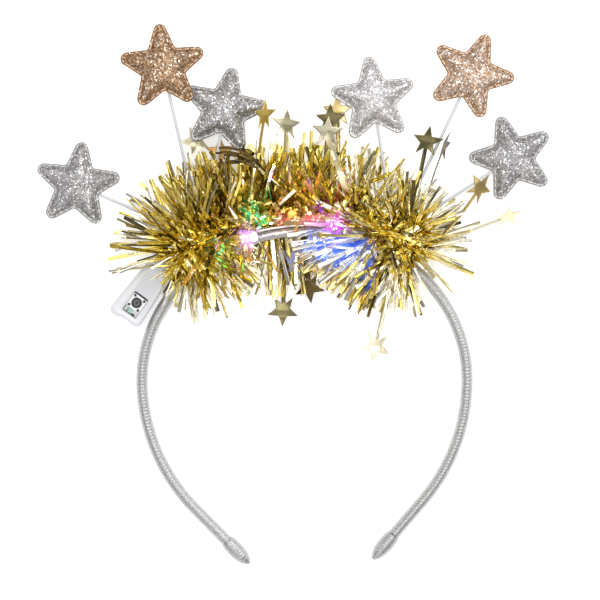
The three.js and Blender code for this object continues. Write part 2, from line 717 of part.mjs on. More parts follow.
function lockGeometry(root, end) {
  const way = end.clone().sub(root);
  const length = way.length();
  const profile = LOCK_PROFILE.map((row) => new THREE.Vector2(row.radius, row.share * length));
  const onAxis = [new THREE.Vector2(0, 0), ...profile, new THREE.Vector2(0, length)];
  const lock = new THREE.LatheGeometry(onAxis, LOCK_SIDES);
  lock.scale(1, 1, LOCK_FLATNESS);
  lock.applyQuaternion(new THREE.Quaternion().setFromUnitVectors(Y_AXIS, way.normalize()));
  lock.translate(...root.toArray());
  return lock;
}

function lockDirection(curve, share, seed) {
  const tangent = curve.getTangentAt(share);
  const outward = Z_AXIS.clone().cross(tangent).normalize();
  const turn = FULL_TURN * scatter(seed);
  const endLean = LOCK_END_LEAN * (2 * share - 1) * Math.abs(2 * share - 1);
  const lean = endLean + LOCK_LOOSE_LEAN * (scatter(seed + LEAN_SEED) - 0.5);
  return outward
    .multiplyScalar(Math.cos(turn) * Math.cos(lean))
    .addScaledVector(Z_AXIS, Math.sin(turn) * Math.cos(lean))
    .addScaledVector(tangent, Math.sin(lean));
}

function tinselGeometry() {
  const first = GARLAND_ROUTE[0].angle;
  const last = GARLAND_ROUTE[GARLAND_ROUTE.length - 1].angle;
  const corePoints = Array.from({ length: GARLAND_STEPS + 1 }, (_, k) =>
    garlandAt(first + ((last - first) * k) / GARLAND_STEPS),
  );
  const curve = new THREE.CatmullRomCurve3(corePoints);
  const obstacles = tinselObstacles();
  let body = solidOf(tube(corePoints, GARLAND_RADIUS, GARLAND_STEPS, GARLAND_SIDES));
  const total = LOCK_STATIONS * LOCKS_ROUND;
  for (let n = 0; n < total; n += 1) {
    const share = (Math.floor(n / LOCKS_ROUND) + scatter(n + STATION_SEED)) / LOCK_STATIONS;
    const root = curve.getPointAt(share);
    for (let attempt = 0; attempt < LOCK_TRIES; attempt += 1) {
      const seed = n + attempt * total;
      const length = LOCK_LENGTH + LOCK_LENGTH_SPREAD * (scatter(seed + LENGTH_SEED) - 0.5);
      const end = lockTip(root, lockDirection(curve, share, seed), length);
      if (lockIsClear(root, end, obstacles)) {
        body = body.add(solidOf(lockGeometry(root, end)));
        obstacles.push(bar(root.clone().lerp(end, LOCK_FREE_SHARE), end, LOCK_SPACING));
        break;
      }
    }
  }
  const floor = new THREE.BoxGeometry(SURFACE_BLOCK, SURFACE_BLOCK, SURFACE_BLOCK);
  floor.translate(0, 0, -SURFACE_BLOCK / 2);
  floor.applyMatrix4(toLying);
  // The outer skin only: locks that meet can shut a small hollow between them.
  const skins = body.subtract(solidOf(floor)).simplify(TINSEL_DETAIL).decompose();
  return geometryOf(skins.reduce((a, b) => (a.volume() > b.volume() ? a : b)));
}

// A named piece in a finish, in its own colour where it has one.
function piece(name, geometry, finish, own = {}) {
  const material = new THREE.MeshStandardMaterial({ ...FINISHES[finish], ...own });
  const mesh = new THREE.Mesh(geometry, material);
  mesh.name = name;
  return mesh;
}

lying.add(piece("headband", bandGeometry(), "thread"));
lying.add(piece("end_cap_left", capGeometry(false), "cap"));
lying.add(piece("end_cap_right", capGeometry(true), "cap"));
lying.add(piece("tinsel_garland", tinselGeometry(), "tinsel"));
STARS.forEach((star, k) => {
  const stick = tube(stickPoints(star), STICK_RADIUS, STICK_STEPS, STICK_SIDES);
  lying.add(piece(`glitter_star_${k + 1}`, starWithSocket(star), "glitter", { color: star.colour }));
  lying.add(piece(`stick_${k + 1}`, stick, "stick"));
});
const lightWire = tube(wirePoints(), WIRE_RADIUS, WIRE_STEPS, WIRE_SIDES);
lying.add(piece("light_wire", lightWire, "wire"));
LIGHTS.forEach((light, k) => {
  lying.add(piece(`light_${k + 1}`, lightGeometry(light), "bulb", { color: light.colour }));
});
FOIL_STARS.forEach((foil, k) => {
  const name = `foil_star_${String(k + 1).padStart(2, "0")}`;
  lying.add(piece(name, foilGeometry(foil), "foil", { color: foil.colour }));
});

const battery = new THREE.Group();
battery.applyMatrix4(boxFrame);
battery.add(piece("battery_box", boxGeometry(), "plastic"));
battery.add(piece("circuit_board", boardGeometry(), "board"));
battery.add(piece("switch_body", switchGeometry(), "plate"));
battery.add(piece("switch_plunger", plungerGeometry(), "button"));

// The part's frame: the middle of its outline on the surface it lies on.
const assembly = new THREE.Group();
assembly.add(lying, battery);
const bounds = new THREE.Box3().setFromObject(assembly, true);
const middle = bounds.getCenter(new THREE.Vector3());
assembly.position.set(-middle.x, -middle.y, -bounds.min.z);

const headband = new THREE.Group();
headband.add(assembly);
export default headband;
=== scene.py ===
# %% [markdown]
# # A light-up star headband
# The real thing is a plastic hair band wound with silver thread. A gold tinsel garland is tied along
# its crown, six padded glitter stars stand up on thin sticks, small lights sit among the tinsel and a
# milky battery box hangs at one side. It lies on its back on a white table. We load the fixed frame
# first, because every piece that we make has to sit exactly where the frame's solids are.

# %% Load the fixed frame
import math

import bpy
import numpy as np
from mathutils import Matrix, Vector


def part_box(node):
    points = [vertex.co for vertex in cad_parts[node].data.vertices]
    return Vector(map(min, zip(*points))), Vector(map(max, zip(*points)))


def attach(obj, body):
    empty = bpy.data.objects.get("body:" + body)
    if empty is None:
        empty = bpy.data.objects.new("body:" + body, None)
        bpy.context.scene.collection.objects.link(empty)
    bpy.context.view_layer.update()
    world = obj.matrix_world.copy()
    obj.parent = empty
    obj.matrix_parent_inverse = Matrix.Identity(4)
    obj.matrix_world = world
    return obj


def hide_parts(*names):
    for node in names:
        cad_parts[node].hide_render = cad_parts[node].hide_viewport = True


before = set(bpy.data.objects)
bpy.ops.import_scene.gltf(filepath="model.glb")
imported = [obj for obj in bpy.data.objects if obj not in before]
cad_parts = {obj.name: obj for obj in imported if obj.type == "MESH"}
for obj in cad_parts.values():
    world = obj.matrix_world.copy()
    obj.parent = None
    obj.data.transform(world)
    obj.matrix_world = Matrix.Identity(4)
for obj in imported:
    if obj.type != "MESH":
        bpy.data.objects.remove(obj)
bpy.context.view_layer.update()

MM = 0.001
BAND_BODY = "headband_set"
BUTTON_BODY = "switch_button"

# %% [markdown]
# ## The pose and the band's own plane
# The whole band leans back a little: its tips, the underside of the tinsel and the battery box touch
# the table, and the crown is a touch higher. It is easiest to think in the band's own plane, with x to
# the right, y up to the crown and "forward" out of the plane, in millimetres. One helper then turns
# those numbers into metres in the frame. Its shift is read from the frame's own boxes.

# %% From the band's plane to the frame
REST_TILT = math.radians(2.9)
BAND_HALF_WIDTH = 66.4
BAND_CROWN_RISE = 61.1
BAND_SIDE_RADIUS = 75.5
BAND_SIDE_SWEEP = math.radians(42.5)
BAND_TAIL = 31.5
BAND_HALF_THICK = 2.4
BAND_HALF_DEPTH = 3.5
CAP_LENGTH = 13.0
CAP_BACK = np.array([0.0, 1.6, 4.2, 8.0, 11.4, CAP_LENGTH])
CAP_THICK = np.array([0.8, 1.9, 2.9, 3.3, 3.1, 2.7])
CAP_DEEP = np.array([1.4, 2.6, 3.6, 3.9, 3.9, 3.7])

SIDE_CENTRE = BAND_SIDE_RADIUS - BAND_HALF_WIDTH
TAIL_TOP_X = BAND_SIDE_RADIUS * math.cos(BAND_SIDE_SWEEP) - SIDE_CENTRE
TAIL_TOP_Y = -BAND_SIDE_RADIUS * math.sin(BAND_SIDE_SWEEP)
TIP_X = TAIL_TOP_X - BAND_TAIL * math.sin(BAND_SIDE_SWEEP)
TIP_Y = TAIL_TOP_Y - BAND_TAIL * math.cos(BAND_SIDE_SWEEP)

band_low, band_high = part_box("headband")
shift_x = (band_low.x + band_high.x) / 2 / MM
shift_y = band_high.y / MM - (BAND_CROWN_RISE + BAND_HALF_THICK) * math.cos(REST_TILT)
cap_lift = CAP_DEEP * math.cos(REST_TILT)
cap_drop = (TIP_Y + CAP_BACK * math.cos(BAND_SIDE_SWEEP)) * math.sin(REST_TILT)
shift_z = float(np.max(cap_lift - cap_drop))


def to_row(points):
    """Points (x, y, forward) in the band's plane, in millimetres, as metres in the frame."""
    x, y, forward = np.moveaxis(np.asarray(points, float), -1, 0)
    rise, flat = math.sin(REST_TILT), math.cos(REST_TILT)
    return MM * np.stack(
        [x + shift_x, y * flat - forward * rise + shift_y, y * rise + forward * flat + shift_z], -1
    )


print("shift of the band's plane, mm:", round(shift_x, 3), round(shift_y, 3), round(shift_z, 3))

# %% [markdown]
# ## Camera, table and light
# The picture looks straight down, with the band turned two degrees, through a long lens, so nothing is
# stretched at the edges. Mirror foil shows what is around it: with a white world all round it would
# turn to pale butter. So the world is dim, and four wide softboxes stand round the table with dark gaps
# between them. Overhead, a broad panel fills in and one small lamp draws the bright line along the
# band. The table is bright enough to come out white.

# %% Camera
VIEW_WIDTH = 0.246
VIEW_MIDDLE = (0.0006, -0.0032)
VIEW_TURN = math.radians(-2.1)
CAMERA_HEIGHT = 2.0
SENSOR_MM = 36.0

camera_data = bpy.data.cameras.new("camera")
camera_data.sensor_width = SENSOR_MM
camera_data.lens = SENSOR_MM * CAMERA_HEIGHT / VIEW_WIDTH
camera = bpy.data.objects.new("camera", camera_data)
bpy.context.scene.collection.objects.link(camera)
camera.location = (*VIEW_MIDDLE, CAMERA_HEIGHT)
camera.rotation_euler = (0, 0, VIEW_TURN)
bpy.context.scene.camera = camera
print("camera: lens", round(camera_data.lens), "mm, straight down")

# %% Materials from one helper
MOTTLE_RANGE = (0.3, 0.7)
TABLE_GLOW = 0.42


def finish_material(name, colour, roughness, metallic=0.0, **sockets):
    """A Principled material with its even values set on the shader's own sockets."""
    material = bpy.data.materials.new(name)
    material.use_nodes = True
    shader = material.node_tree.nodes["Principled BSDF"]
    shader.inputs["Base Color"].default_value = (*colour, 1)
    shader.inputs["Roughness"].default_value = roughness
    shader.inputs["Metallic"].default_value = metallic
    for socket, value in sockets.items():
        shader.inputs[socket.replace("_", " ")].default_value = value
    return material


def add_grain(material, size_mm, bump_mm, stretch=(1, 1, 1), detail=2.0):
    """A fine noise of that grain size, as bump."""
    nodes, links = material.node_tree.nodes, material.node_tree.links
    shader = nodes["Principled BSDF"]
    place = nodes.new("ShaderNodeTexCoord")
    scale = nodes.new("ShaderNodeMapping")
    scale.inputs["Scale"].default_value = stretch
    noise = nodes.new("ShaderNodeTexNoise")
    noise.inputs["Scale"].default_value = 1 / (size_mm * MM)
    noise.inputs["Detail"].default_value = detail
    bump = nodes.new("ShaderNodeBump")
    bump.inputs["Strength"].default_value = 1.0
    bump.inputs["Distance"].default_value = bump_mm * MM
    links.new(place.outputs["Object"], scale.inputs["Vector"])
    links.new(scale.outputs["Vector"], noise.inputs["Vector"])
    links.new(noise.outputs["Fac"], bump.inputs["Height"])
    links.new(bump.outputs["Normal"], shader.inputs["Normal"])
    return noise


def add_mottle(material, noise, dark, light):
    """Colour that runs between two shades with the grain."""
    nodes, links = material.node_tree.nodes, material.node_tree.links
    ramp = nodes.new("ShaderNodeValToRGB")
    for stop, position, shade in zip(ramp.color_ramp.elements, MOTTLE_RANGE, (dark, light)):
        stop.position = position
        stop.color = (*shade, 1)
    links.new(noise.outputs["Fac"], ramp.inputs["Fac"])
    links.new(ramp.outputs["Color"], nodes["Principled BSDF"].inputs["Base Color"])


def show_layer(material, layer, socket):
    """Lets a colour layer that is painted on a piece's points drive one socket of the shader."""
    nodes, links = material.node_tree.nodes, material.node_tree.links
    painted = nodes.new("ShaderNodeAttribute")
    painted.attribute_name = layer
    links.new(painted.outputs["Color"], nodes["Principled BSDF"].inputs[socket])


table_white = finish_material(
    "table_white", (0.9, 0.9, 0.9), roughness=0.7,
    Emission_Color=(1, 1, 1, 1), Emission_Strength=TABLE_GLOW,
)
print("first finish:", table_white.name)

# %% Table and softboxes
TABLE_SIDE = 4.0
TABLE_DROP = 0.0003
WORLD_LIGHT = 0.32
SOFTBOX_SIDE = 0.75
SOFTBOXES = [  # x, y, z of each softbox in metres, all turned to the middle of the table, and watts
    (-0.85, 0.35, 0.75, 2.6),
    (0.85, 0.25, 0.75, 4.2),
    (-0.30, -0.95, 0.65, 2.6),
    (0.45, 0.95, 0.80, 5.4),
]
OVERHEAD = (-0.05, 0.12, 1.3)
OVERHEAD_SIDE = 0.22
OVERHEAD_WATTS = 1.6
PANEL = (0.1, -0.1, 1.5)
PANEL_SIDE = 1.7
PANEL_WATTS = 8.6
SQUARE = ((-1, -1), (1, -1), (1, 1), (-1, 1))


def add_lamp(name, kind, place, watts):
    lamp = bpy.data.lights.new(name, kind)
    lamp.energy = watts
    holder = bpy.data.objects.new(name, lamp)
    holder.location = place
    bpy.context.scene.collection.objects.link(holder)
    return holder


def softbox(name, place, side, watts):
    """A square lamp that is turned to the middle of the table."""
    holder = add_lamp(name, "AREA", place, watts)
    holder.data.shape = "SQUARE"
    holder.data.size = side
    holder.rotation_mode = "QUATERNION"
    holder.rotation_quaternion = (-holder.location).to_track_quat("-Z", "Y")


table_mesh = bpy.data.meshes.new("table")
corners = [(x * TABLE_SIDE / 2, y * TABLE_SIDE / 2, -TABLE_DROP) for x, y in SQUARE]
table_mesh.from_pydata(corners, [], [(0, 1, 2, 3)])
table_mesh.materials.append(table_white)
table = bpy.data.objects.new("table", table_mesh)
bpy.context.scene.collection.objects.link(table)

for number, (*place, watts) in enumerate(SOFTBOXES, 1):
    softbox(f"softbox_{number}", place, SOFTBOX_SIDE, watts)
softbox("overhead", OVERHEAD, OVERHEAD_SIDE, OVERHEAD_WATTS)
softbox("panel", PANEL, PANEL_SIDE, PANEL_WATTS)
world = bpy.data.worlds.new("studio")
world.use_nodes = True
world.node_tree.nodes["Background"].inputs["Color"].default_value = (1, 1, 1, 1)
world.node_tree.nodes["Background"].inputs["Strength"].default_value = WORLD_LIGHT
bpy.context.scene.world = world
bpy.context.scene.view_settings.view_transform = "Standard"
print("studio:", len(SOFTBOXES), "softboxes round the table, a panel and a lamp overhead")

# %% [markdown]
# ## Small tools for making meshes
# Nearly every piece here is a tube, a strip or a scatter of small plates. Arrays of points and faces
# make them fast and exact: one helper turns arrays into an object that rides on its body, takes its
# finish and stands for the solid it replaces.

# %% Arrays to pieces
TINY = 1e-12
NEARLY_UPRIGHT = 0.9
STEPS_PER_KNOT = 40
RIGHT, _, UP = np.eye(3)


def make_piece(
    name, points, faces, materials, body=BAND_BODY, replaces=(), face_materials=None, smooth=True
):
    """An object from arrays, in metres. It rides on the body and hides the solids that it replaces."""
    mesh = bpy.data.meshes.new(name)
    mesh.from_pydata(np.asarray(points, float).tolist(), [], [list(face) for face in faces])
    for material in materials:
        mesh.materials.append(material)
    if face_materials is not None:
        mesh.polygons.foreach_set("material_index", np.asarray(face_materials, np.int32))
    mesh.polygons.foreach_set("use_smooth", np.broadcast_to(smooth, len(mesh.polygons)).astype(bool))
    mesh.update()
    made = bpy.data.objects.new(name, mesh)
    bpy.context.scene.collection.objects.link(made)
    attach(made, body)
    if replaces:
        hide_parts(*replaces)
    return made


def ring_faces(rings, sides, closed=True):
    """Quads between neighbouring rings, with a flat end on the first and the last."""
    ring, side = np.meshgrid(np.arange(rings - 1), np.arange(sides), indexing="ij")
    here, beside_it = ring * sides + side, ring * sides + (side + 1) % sides
    quads = np.stack([here, beside_it, beside_it + sides, here + sides], -1).reshape(-1, 4).tolist()
    if closed:
        quads.append(list(range(sides - 1, -1, -1)))
        quads.append(list(range((rings - 1) * sides, rings * sides)))
    return quads


def joined(parts):
    """Several (points, rings, sides) stacks as one set of arrays, and the part's number of each face."""
    points, faces, numbers = [], [], []
    for number, (part, rings, sides) in enumerate(parts):
        first = sum(len(p) for p in points)
        own = [[i + first for i in face] for face in ring_faces(rings, sides)]
        points.append(part)
        faces += own
        numbers += [number] * len(own)
    return np.vstack(points), faces, np.array(numbers)


def unit(vectors):
    return vectors / np.maximum(np.linalg.norm(vectors, axis=-1, keepdims=True), TINY)


def polar(radius, turn):
    """The point at that distance and in that direction from the middle."""
    return radius * np.array([math.cos(turn), math.sin(turn)])


def run_along(path):
    """How far along a path each of its points lies."""
    return np.concatenate([[0], np.cumsum(np.linalg.norm(np.diff(path, axis=0), axis=1))])


def at_run(where, run, path):
    """Places on a path, read off where its run has these values."""
    return np.stack([np.interp(where, run, column) for column in np.transpose(path)], -1)


def smooth_path(knots, count):
    """Evenly spaced points on a smooth curve through a few knots."""
    knots = np.asarray(knots, float)
    padded = np.vstack([2 * knots[0] - knots[1], knots, 2 * knots[-1] - knots[-2]])
    t = np.linspace(0, 1, STEPS_PER_KNOT, endpoint=False)[:, None]
    runs = []
    for a, b, c, d in zip(padded, padded[1:], padded[2:], padded[3:]):
        curve = (2 * a - 5 * b + 4 * c - d) * t**2 + (3 * b - a - 3 * c + d) * t**3
        runs.append((2 * b + (c - a) * t + curve) / 2)
    dense = np.vstack([*runs, knots[-1:]])
    run = run_along(dense)
    return at_run(np.linspace(0, run[-1], count), run, dense)


def tube(path, radii, sides):
    """Points of a round tube along a path, ring by ring, without twist."""
    path = np.asarray(path, float)
    way = unit(np.gradient(path, axis=0))
    start = UP if abs(way[0, 2]) < NEARLY_UPRIGHT else RIGHT
    across = [unit(np.cross(way[0], start))]
    for k in range(1, len(path)):
        across.append(unit(across[-1] - way[k] * np.dot(across[-1], way[k])))
    across = np.array(across)
    up = np.cross(way, across)
    turn = np.arange(sides) * 2 * math.pi / sides
    radii = np.broadcast_to(radii, len(path))
    ring = across[:, None] * np.cos(turn)[None, :, None] + up[:, None] * np.sin(turn)[None, :, None]
    return (path[:, None] + ring * radii[:, None, None]).reshape(-1, 3)


def beside(angle, outward, forward):
    """A place beside the crown: degrees from the crown, millimetres outward and forward."""
    turn = np.radians(np.asarray(angle, float))
    normal = unit(np.stack([np.sin(turn) / BAND_HALF_WIDTH, np.cos(turn) / BAND_CROWN_RISE], -1))
    x = BAND_HALF_WIDTH * np.sin(turn) + normal[..., 0] * outward
    y = BAND_CROWN_RISE * np.cos(turn) + normal[..., 1] * outward
    return np.stack([x, y, np.broadcast_to(forward, np.shape(x)).astype(float)], -1)


print("middle of the crown, m in the frame:", to_row(beside(0, 0, 0)).round(4).tolist())

# %% [markdown]
# ## The thread-wound band
# Silver thread is wound round the plastic band, turn beside turn, so its face is a row of fine rounded
# ridges that run a little askew. A bump map would leave the edge smooth; here the ridges are in the
# mesh: the section's size goes up and down once for each turn of thread, and the phase moves on round
# the section, which makes a helix. The pointed end caps are wound in the same way.

# %% Centreline of the band
THREAD_PITCH = 1.35
THREAD_RISE = 0.24
THREAD_ROUND = 0.96
STEPS_PER_TURN = 6
BAND_SIDES = 28
CENTRELINE_POINTS = 1200


def arc(centre_x, radius_x, radius_y, first, last):
    turn = np.linspace(first, last, CENTRELINE_POINTS)
    return np.stack([centre_x + radius_x * np.cos(turn), radius_y * np.sin(turn)], -1)


centreline = np.vstack(
    [
        [(-TIP_X, TIP_Y)],
        arc(SIDE_CENTRE, BAND_SIDE_RADIUS, BAND_SIDE_RADIUS, math.pi + BAND_SIDE_SWEEP, math.pi),
        arc(0, BAND_HALF_WIDTH, BAND_CROWN_RISE, math.pi, 0)[1:],
        arc(-SIDE_CENTRE, BAND_SIDE_RADIUS, BAND_SIDE_RADIUS, 0, -BAND_SIDE_SWEEP)[1:],
        [(TIP_X, TIP_Y)],
    ]
)
centreline_run = run_along(centreline)
band_length = centreline_run[-1]
print("band: length along its middle", round(band_length, 1), "mm")


def on_band(along):
    return at_run(along, centreline_run, centreline)


def wound_rings(along, thick, deep):
    """Rings of an oval section along the band, with the thread's ridges."""
    reach = THREAD_PITCH / 2
    middle = on_band(along)
    way = unit(on_band(np.minimum(along + reach, band_length)) - on_band(np.maximum(along - reach, 0)))
    turn = np.arange(BAND_SIDES) * 2 * math.pi / BAND_SIDES
    phase = along[:, None] / THREAD_PITCH - turn[None, :] / (2 * math.pi)
    ridge = THREAD_RISE * (np.sqrt(1 - (2 * (phase % 1) - 1) ** 2 * THREAD_ROUND) - 1)
    outward = (thick[:, None] + ridge) * np.cos(turn)
    forward = (deep[:, None] + ridge) * np.sin(turn)
    x = middle[:, 0, None] - outward * way[:, 1, None]
    y = middle[:, 1, None] + outward * way[:, 0, None]
    return np.stack([x, y, forward], -1).reshape(-1, 3)


# %% Silver thread and the wound pieces
CAP_START = 0.05
silver_thread = finish_material("silver_thread", (0.62, 0.62, 0.63), roughness=0.34, metallic=0.82)
thread_grain = add_grain(silver_thread, size_mm=0.35, bump_mm=0.10, detail=3.0)
add_mottle(silver_thread, thread_grain, (0.295, 0.293, 0.29), (0.625, 0.62, 0.615))

ring_step = THREAD_PITCH / STEPS_PER_TURN
band_along = np.arange(CAP_LENGTH, band_length - CAP_LENGTH, ring_step)
band_size = np.ones(len(band_along))
band_points = wound_rings(band_along, band_size * BAND_HALF_THICK, band_size * BAND_HALF_DEPTH)
make_piece(
    "wound_band", to_row(band_points), ring_faces(len(band_along), BAND_SIDES),
    [silver_thread], replaces=["headband"],
)
cap_back = np.arange(CAP_START, CAP_LENGTH, ring_step)
cap_thick = np.interp(cap_back, CAP_BACK, CAP_THICK)
cap_deep = np.interp(cap_back, CAP_BACK, CAP_DEEP)
for side, along in (("left", cap_back), ("right", band_length - cap_back)):
    order = np.argsort(along)
    cap_points = wound_rings(along[order], cap_thick[order], cap_deep[order])
    make_piece(
        f"wound_cap_{side}", to_row(cap_points), ring_faces(len(order), BAND_SIDES),
        [silver_thread], replaces=[f"end_cap_{side}"],
    )
print("wound band:", len(band_along), "rings of", BAND_SIDES, "points")

# %% [markdown]
# ## Padded glitter stars
# Each star is two layers of glitter cloth, sewn together round the edge over a soft filling: a thin flat
# rim of even width with a line of light stitches, a groove, then a domed middle. The rim is the outline
# moved inwards by the same step everywhere. Every straight edge of such a star is equally far from its
# centre, so inside the rim the outline only has to be drawn smaller, and a short profile table gives the
# height at each step. The cloth at the outer edge, between the stitches and in the groove is a darker
# copy of the cloth: painted shade. The glitter itself is loose flakes, each tilted its own way, which
# makes some of them flash and others go dark; a share of them is also painted near white, as painted
# glints, and the rest come in a darker and a lighter tone.

# %% The outline and the profile of a star
STAR_ARMS = 5
STAR_RADIUS = 17.7
STAR_NOTCH_RADIUS = 9.4
STAR_TIP_ROUND = 2.7
STAR_COLUMNS = 240
TIP_STEPS = 9
NOTCH_ROUNDINGS = 2
STAR_PROFILE = np.array(
    [  # inset from the edge, height of the face, both in millimetres
        (0.0, 0.25), (0.12, 0.58), (0.3, 0.76), (0.6, 0.80), (0.85, 0.78), (1.1, 0.66),
        (1.35, 0.44), (1.6, 0.50), (1.85, 0.80), (2.1, 1.16), (2.5, 1.60), (3.0, 2.06),
        (3.6, 2.46), (4.3, 2.82), (5.1, 3.12), (6.0, 3.34), (7.0, 3.45),
    ]
)
RIM_WIDTH = 1.85
STITCH_LENGTH = 2.6
STITCH_SHARE = 0.64
STITCH_RISE = 0.08
STITCH_FROM, STITCH_TO = 0.55, 1.15
GROOVE_TO = 1.65

arm_half = math.pi / STAR_ARMS
tip_middle = STAR_RADIUS - STAR_TIP_ROUND
notch_across = STAR_NOTCH_RADIUS * math.sin(arm_half)
notch_up = STAR_NOTCH_RADIUS * math.cos(arm_half)
notch_to_tip = math.hypot(notch_across, tip_middle - notch_up)
edge_angle = math.atan2(notch_across, tip_middle - notch_up) - math.asin(STAR_TIP_ROUND / notch_to_tip)
edge_distance = (notch_up + notch_across / math.tan(edge_angle)) * math.sin(edge_angle)


def evened(values):
    """Values round a loop, each drawn a little towards its two neighbours."""
    return (np.roll(values, 1, 0) + 2 * values + np.roll(values, -1, 0)) / 4


def star_outline():
    """Evenly spaced points round the star, its first arm up the y axis."""
    swing = math.pi / 2 - edge_angle
    corners = []
    for arm in range(STAR_ARMS):
        heading = math.pi / 2 + 2 * arm_half * arm
        for turn in heading + swing * np.linspace(-1, 1, TIP_STEPS):
            corners.append(polar(tip_middle, heading) + polar(STAR_TIP_ROUND, turn))
        corners.append(polar(STAR_NOTCH_RADIUS, heading + arm_half))
    loop = np.array(corners + corners[:1])
    run = run_along(loop)
    even = np.linspace(0, run[-1], STAR_COLUMNS, endpoint=False)
    points = at_run(even, run, loop)
    for _ in range(NOTCH_ROUNDINGS):
        points = evened(points)
    return points, even


outline, outline_run = star_outline()
stitched = outline_run / STITCH_LENGTH % 1 < STITCH_SHARE
print("star: edge lies", round(edge_distance, 2), "mm from the centre,", len(outline), "points round")

# %% One padded star as arrays
SOFT_FROM = 2.2
SOFT_LEAST, SOFT_PER_MM = 3, 4


def inset_loop(loop, by):
    """The loop moved in along its own normals."""
    way = unit(np.roll(loop, -1, 0) - np.roll(loop, 1, 0))
    return loop + by * np.stack([-way[:, 1], way[:, 0]], -1)


def padded_star():
    """Points and faces of a star about its own centre, in millimetres, both faces domed.

    The creases that run from the notches to the middle are softened, more so further in.
    """
    inset, height = STAR_PROFILE.T
    rim = np.minimum(inset, RIM_WIDTH)[:, None, None]
    scale = 1 - np.maximum(inset - RIM_WIDTH, 0) / (edge_distance - RIM_WIDTH)
    rise = np.repeat(height[:, None], STAR_COLUMNS, 1)
    raised = ((inset > STITCH_FROM) & (inset < STITCH_TO)).astype(float)[:, None]
    rise = rise + raised * STITCH_RISE * stitched
    for row in np.flatnonzero(inset > SOFT_FROM):
        for _ in range(int(SOFT_LEAST + SOFT_PER_MM * inset[row])):
            rise[row] = evened(rise[row])
    flat = inset_loop(outline, rim) * scale[:, None, None]
    front = np.concatenate([flat, rise[..., None]], -1)
    back = np.concatenate([flat, -rise[..., None]], -1)
    rings = np.concatenate([back[::-1], front])
    points = np.vstack([rings.reshape(-1, 3), [(0, 0, height[-1]), (0, 0, -height[-1])]])
    faces = ring_faces(len(rings), STAR_COLUMNS, closed=False)
    last = (len(rings) - 1) * STAR_COLUMNS
    top, bottom = len(points) - 2, len(points) - 1
    for k in range(STAR_COLUMNS):
        after = (k + 1) % STAR_COLUMNS
        faces.append([last + k, last + after, top])
        faces.append([after, k, bottom])
    return points, faces


star_points, star_faces = padded_star()
point_inset = np.concatenate([STAR_PROFILE[::-1, 0], STAR_PROFILE[:, 0]]).repeat(STAR_COLUMNS)
point_inset = np.append(point_inset, [edge_distance, edge_distance])
face_inset = np.array([point_inset[face].mean() for face in star_faces])
on_stitch = stitched[[face[0] % STAR_COLUMNS for face in star_faces]]
on_stitch &= (face_inset > STITCH_FROM) & (face_inset < STITCH_TO)
on_dome = face_inset > GROOVE_TO
print("padded star:", len(star_points), "points,", len(star_faces), "faces")

# %% Puffs in the filling
PUFF_HEIGHT = 0.17
PUFF_WAVES = 5
PUFF_LENGTH = (7.0, 13.0)
PUFF_FROM, PUFF_FULL = 1.75, 4.0


def puffed(points, rng):
    """The star with a few soft swells across its dome, as a loose filling gives."""
    x, y, z = points.T
    swell = np.zeros(len(points))
    for _ in range(PUFF_WAVES):
        heading, phase = rng.uniform(0, 2 * math.pi, 2)
        wave = (x * math.cos(heading) + y * math.sin(heading)) / rng.uniform(*PUFF_LENGTH)
        swell += PUFF_HEIGHT * np.sin(2 * math.pi * wave + phase)
    dome = np.clip((point_inset - PUFF_FROM) / (PUFF_FULL - PUFF_FROM), 0, 1)
    return np.column_stack([x, y, z + np.sign(z) * swell * dome])


print("puffs:", PUFF_WAVES, "waves of", PUFF_HEIGHT, "mm on each star")

# %% Glitter flakes scattered over a star
RIM_FLAKES_FROM = 0.1
FLAKE_ZONES = [  # the faces they lie on, how many, sides from and to
    (face_inset > STITCH_TO, 5600, (0.36, 0.72)),
    ((face_inset > RIM_FLAKES_FROM) & (face_inset < STITCH_TO) & ~on_stitch, 900, (0.2, 0.36)),
]
FLAKE_TILT, SPARKLE_TILT = 0.20, 0.15
FLAKE_LIFT = 0.04
FLAKE_ROOT = 0.22
FLAKE_FACES = ([0, 1, 2, 3], [1, 0, 4], [2, 1, 4], [3, 2, 4], [0, 3, 4])


def flakes_on(points, rng, zone, painted_glint_share):
    """Small square plates, each closed by a point sunk in the cloth, and which of them are painted
    glints.
    """
    takes, count, sides = zone
    halves = [[f[:3], f[:1] + f[2:]] if len(f) == 4 else [f] for f, use in zip(star_faces, takes) if use]
    triangles = np.array([triangle for pair in halves for triangle in pair])
    a, b, c = (points[triangles[:, k]] for k in range(3))
    normal = np.cross(b - a, c - a)
    area = np.linalg.norm(normal, axis=1)
    pick = rng.choice(len(triangles), count, p=area / area.sum())
    u, v = rng.random((2, count, 1))
    fold = u + v > 1
    u, v = np.where(fold, 1 - u, u), np.where(fold, 1 - v, v)
    place = a[pick] + (b - a)[pick] * u + (c - a)[pick] * v
    facing = unit(normal[pick])
    painted_glints = rng.random(count) < painted_glint_share
    tilt = np.where(painted_glints, SPARKLE_TILT, FLAKE_TILT)[:, None]
    tilted = unit(facing + tilt * rng.normal(size=(count, 3)))
    side = unit(np.cross(tilted, rng.normal(size=(count, 3))))
    other = np.cross(tilted, side)
    half = rng.uniform(*sides, (count, 1)) / 2
    lifted = place + facing * FLAKE_LIFT
    plate = [lifted + half * (side * p + other * q) for p, q in SQUARE]
    corners = np.stack([*plate, place - facing * FLAKE_ROOT], 1)
    first = np.arange(count)[:, None] * corners.shape[1]
    faces = [face for shape in FLAKE_FACES for face in (first + np.array(shape)).tolist()]
    return corners.reshape(-1, 3), faces, painted_glints


print("flakes lie on", [int(takes.sum()) for takes, *_ in FLAKE_ZONES], "faces of a star")
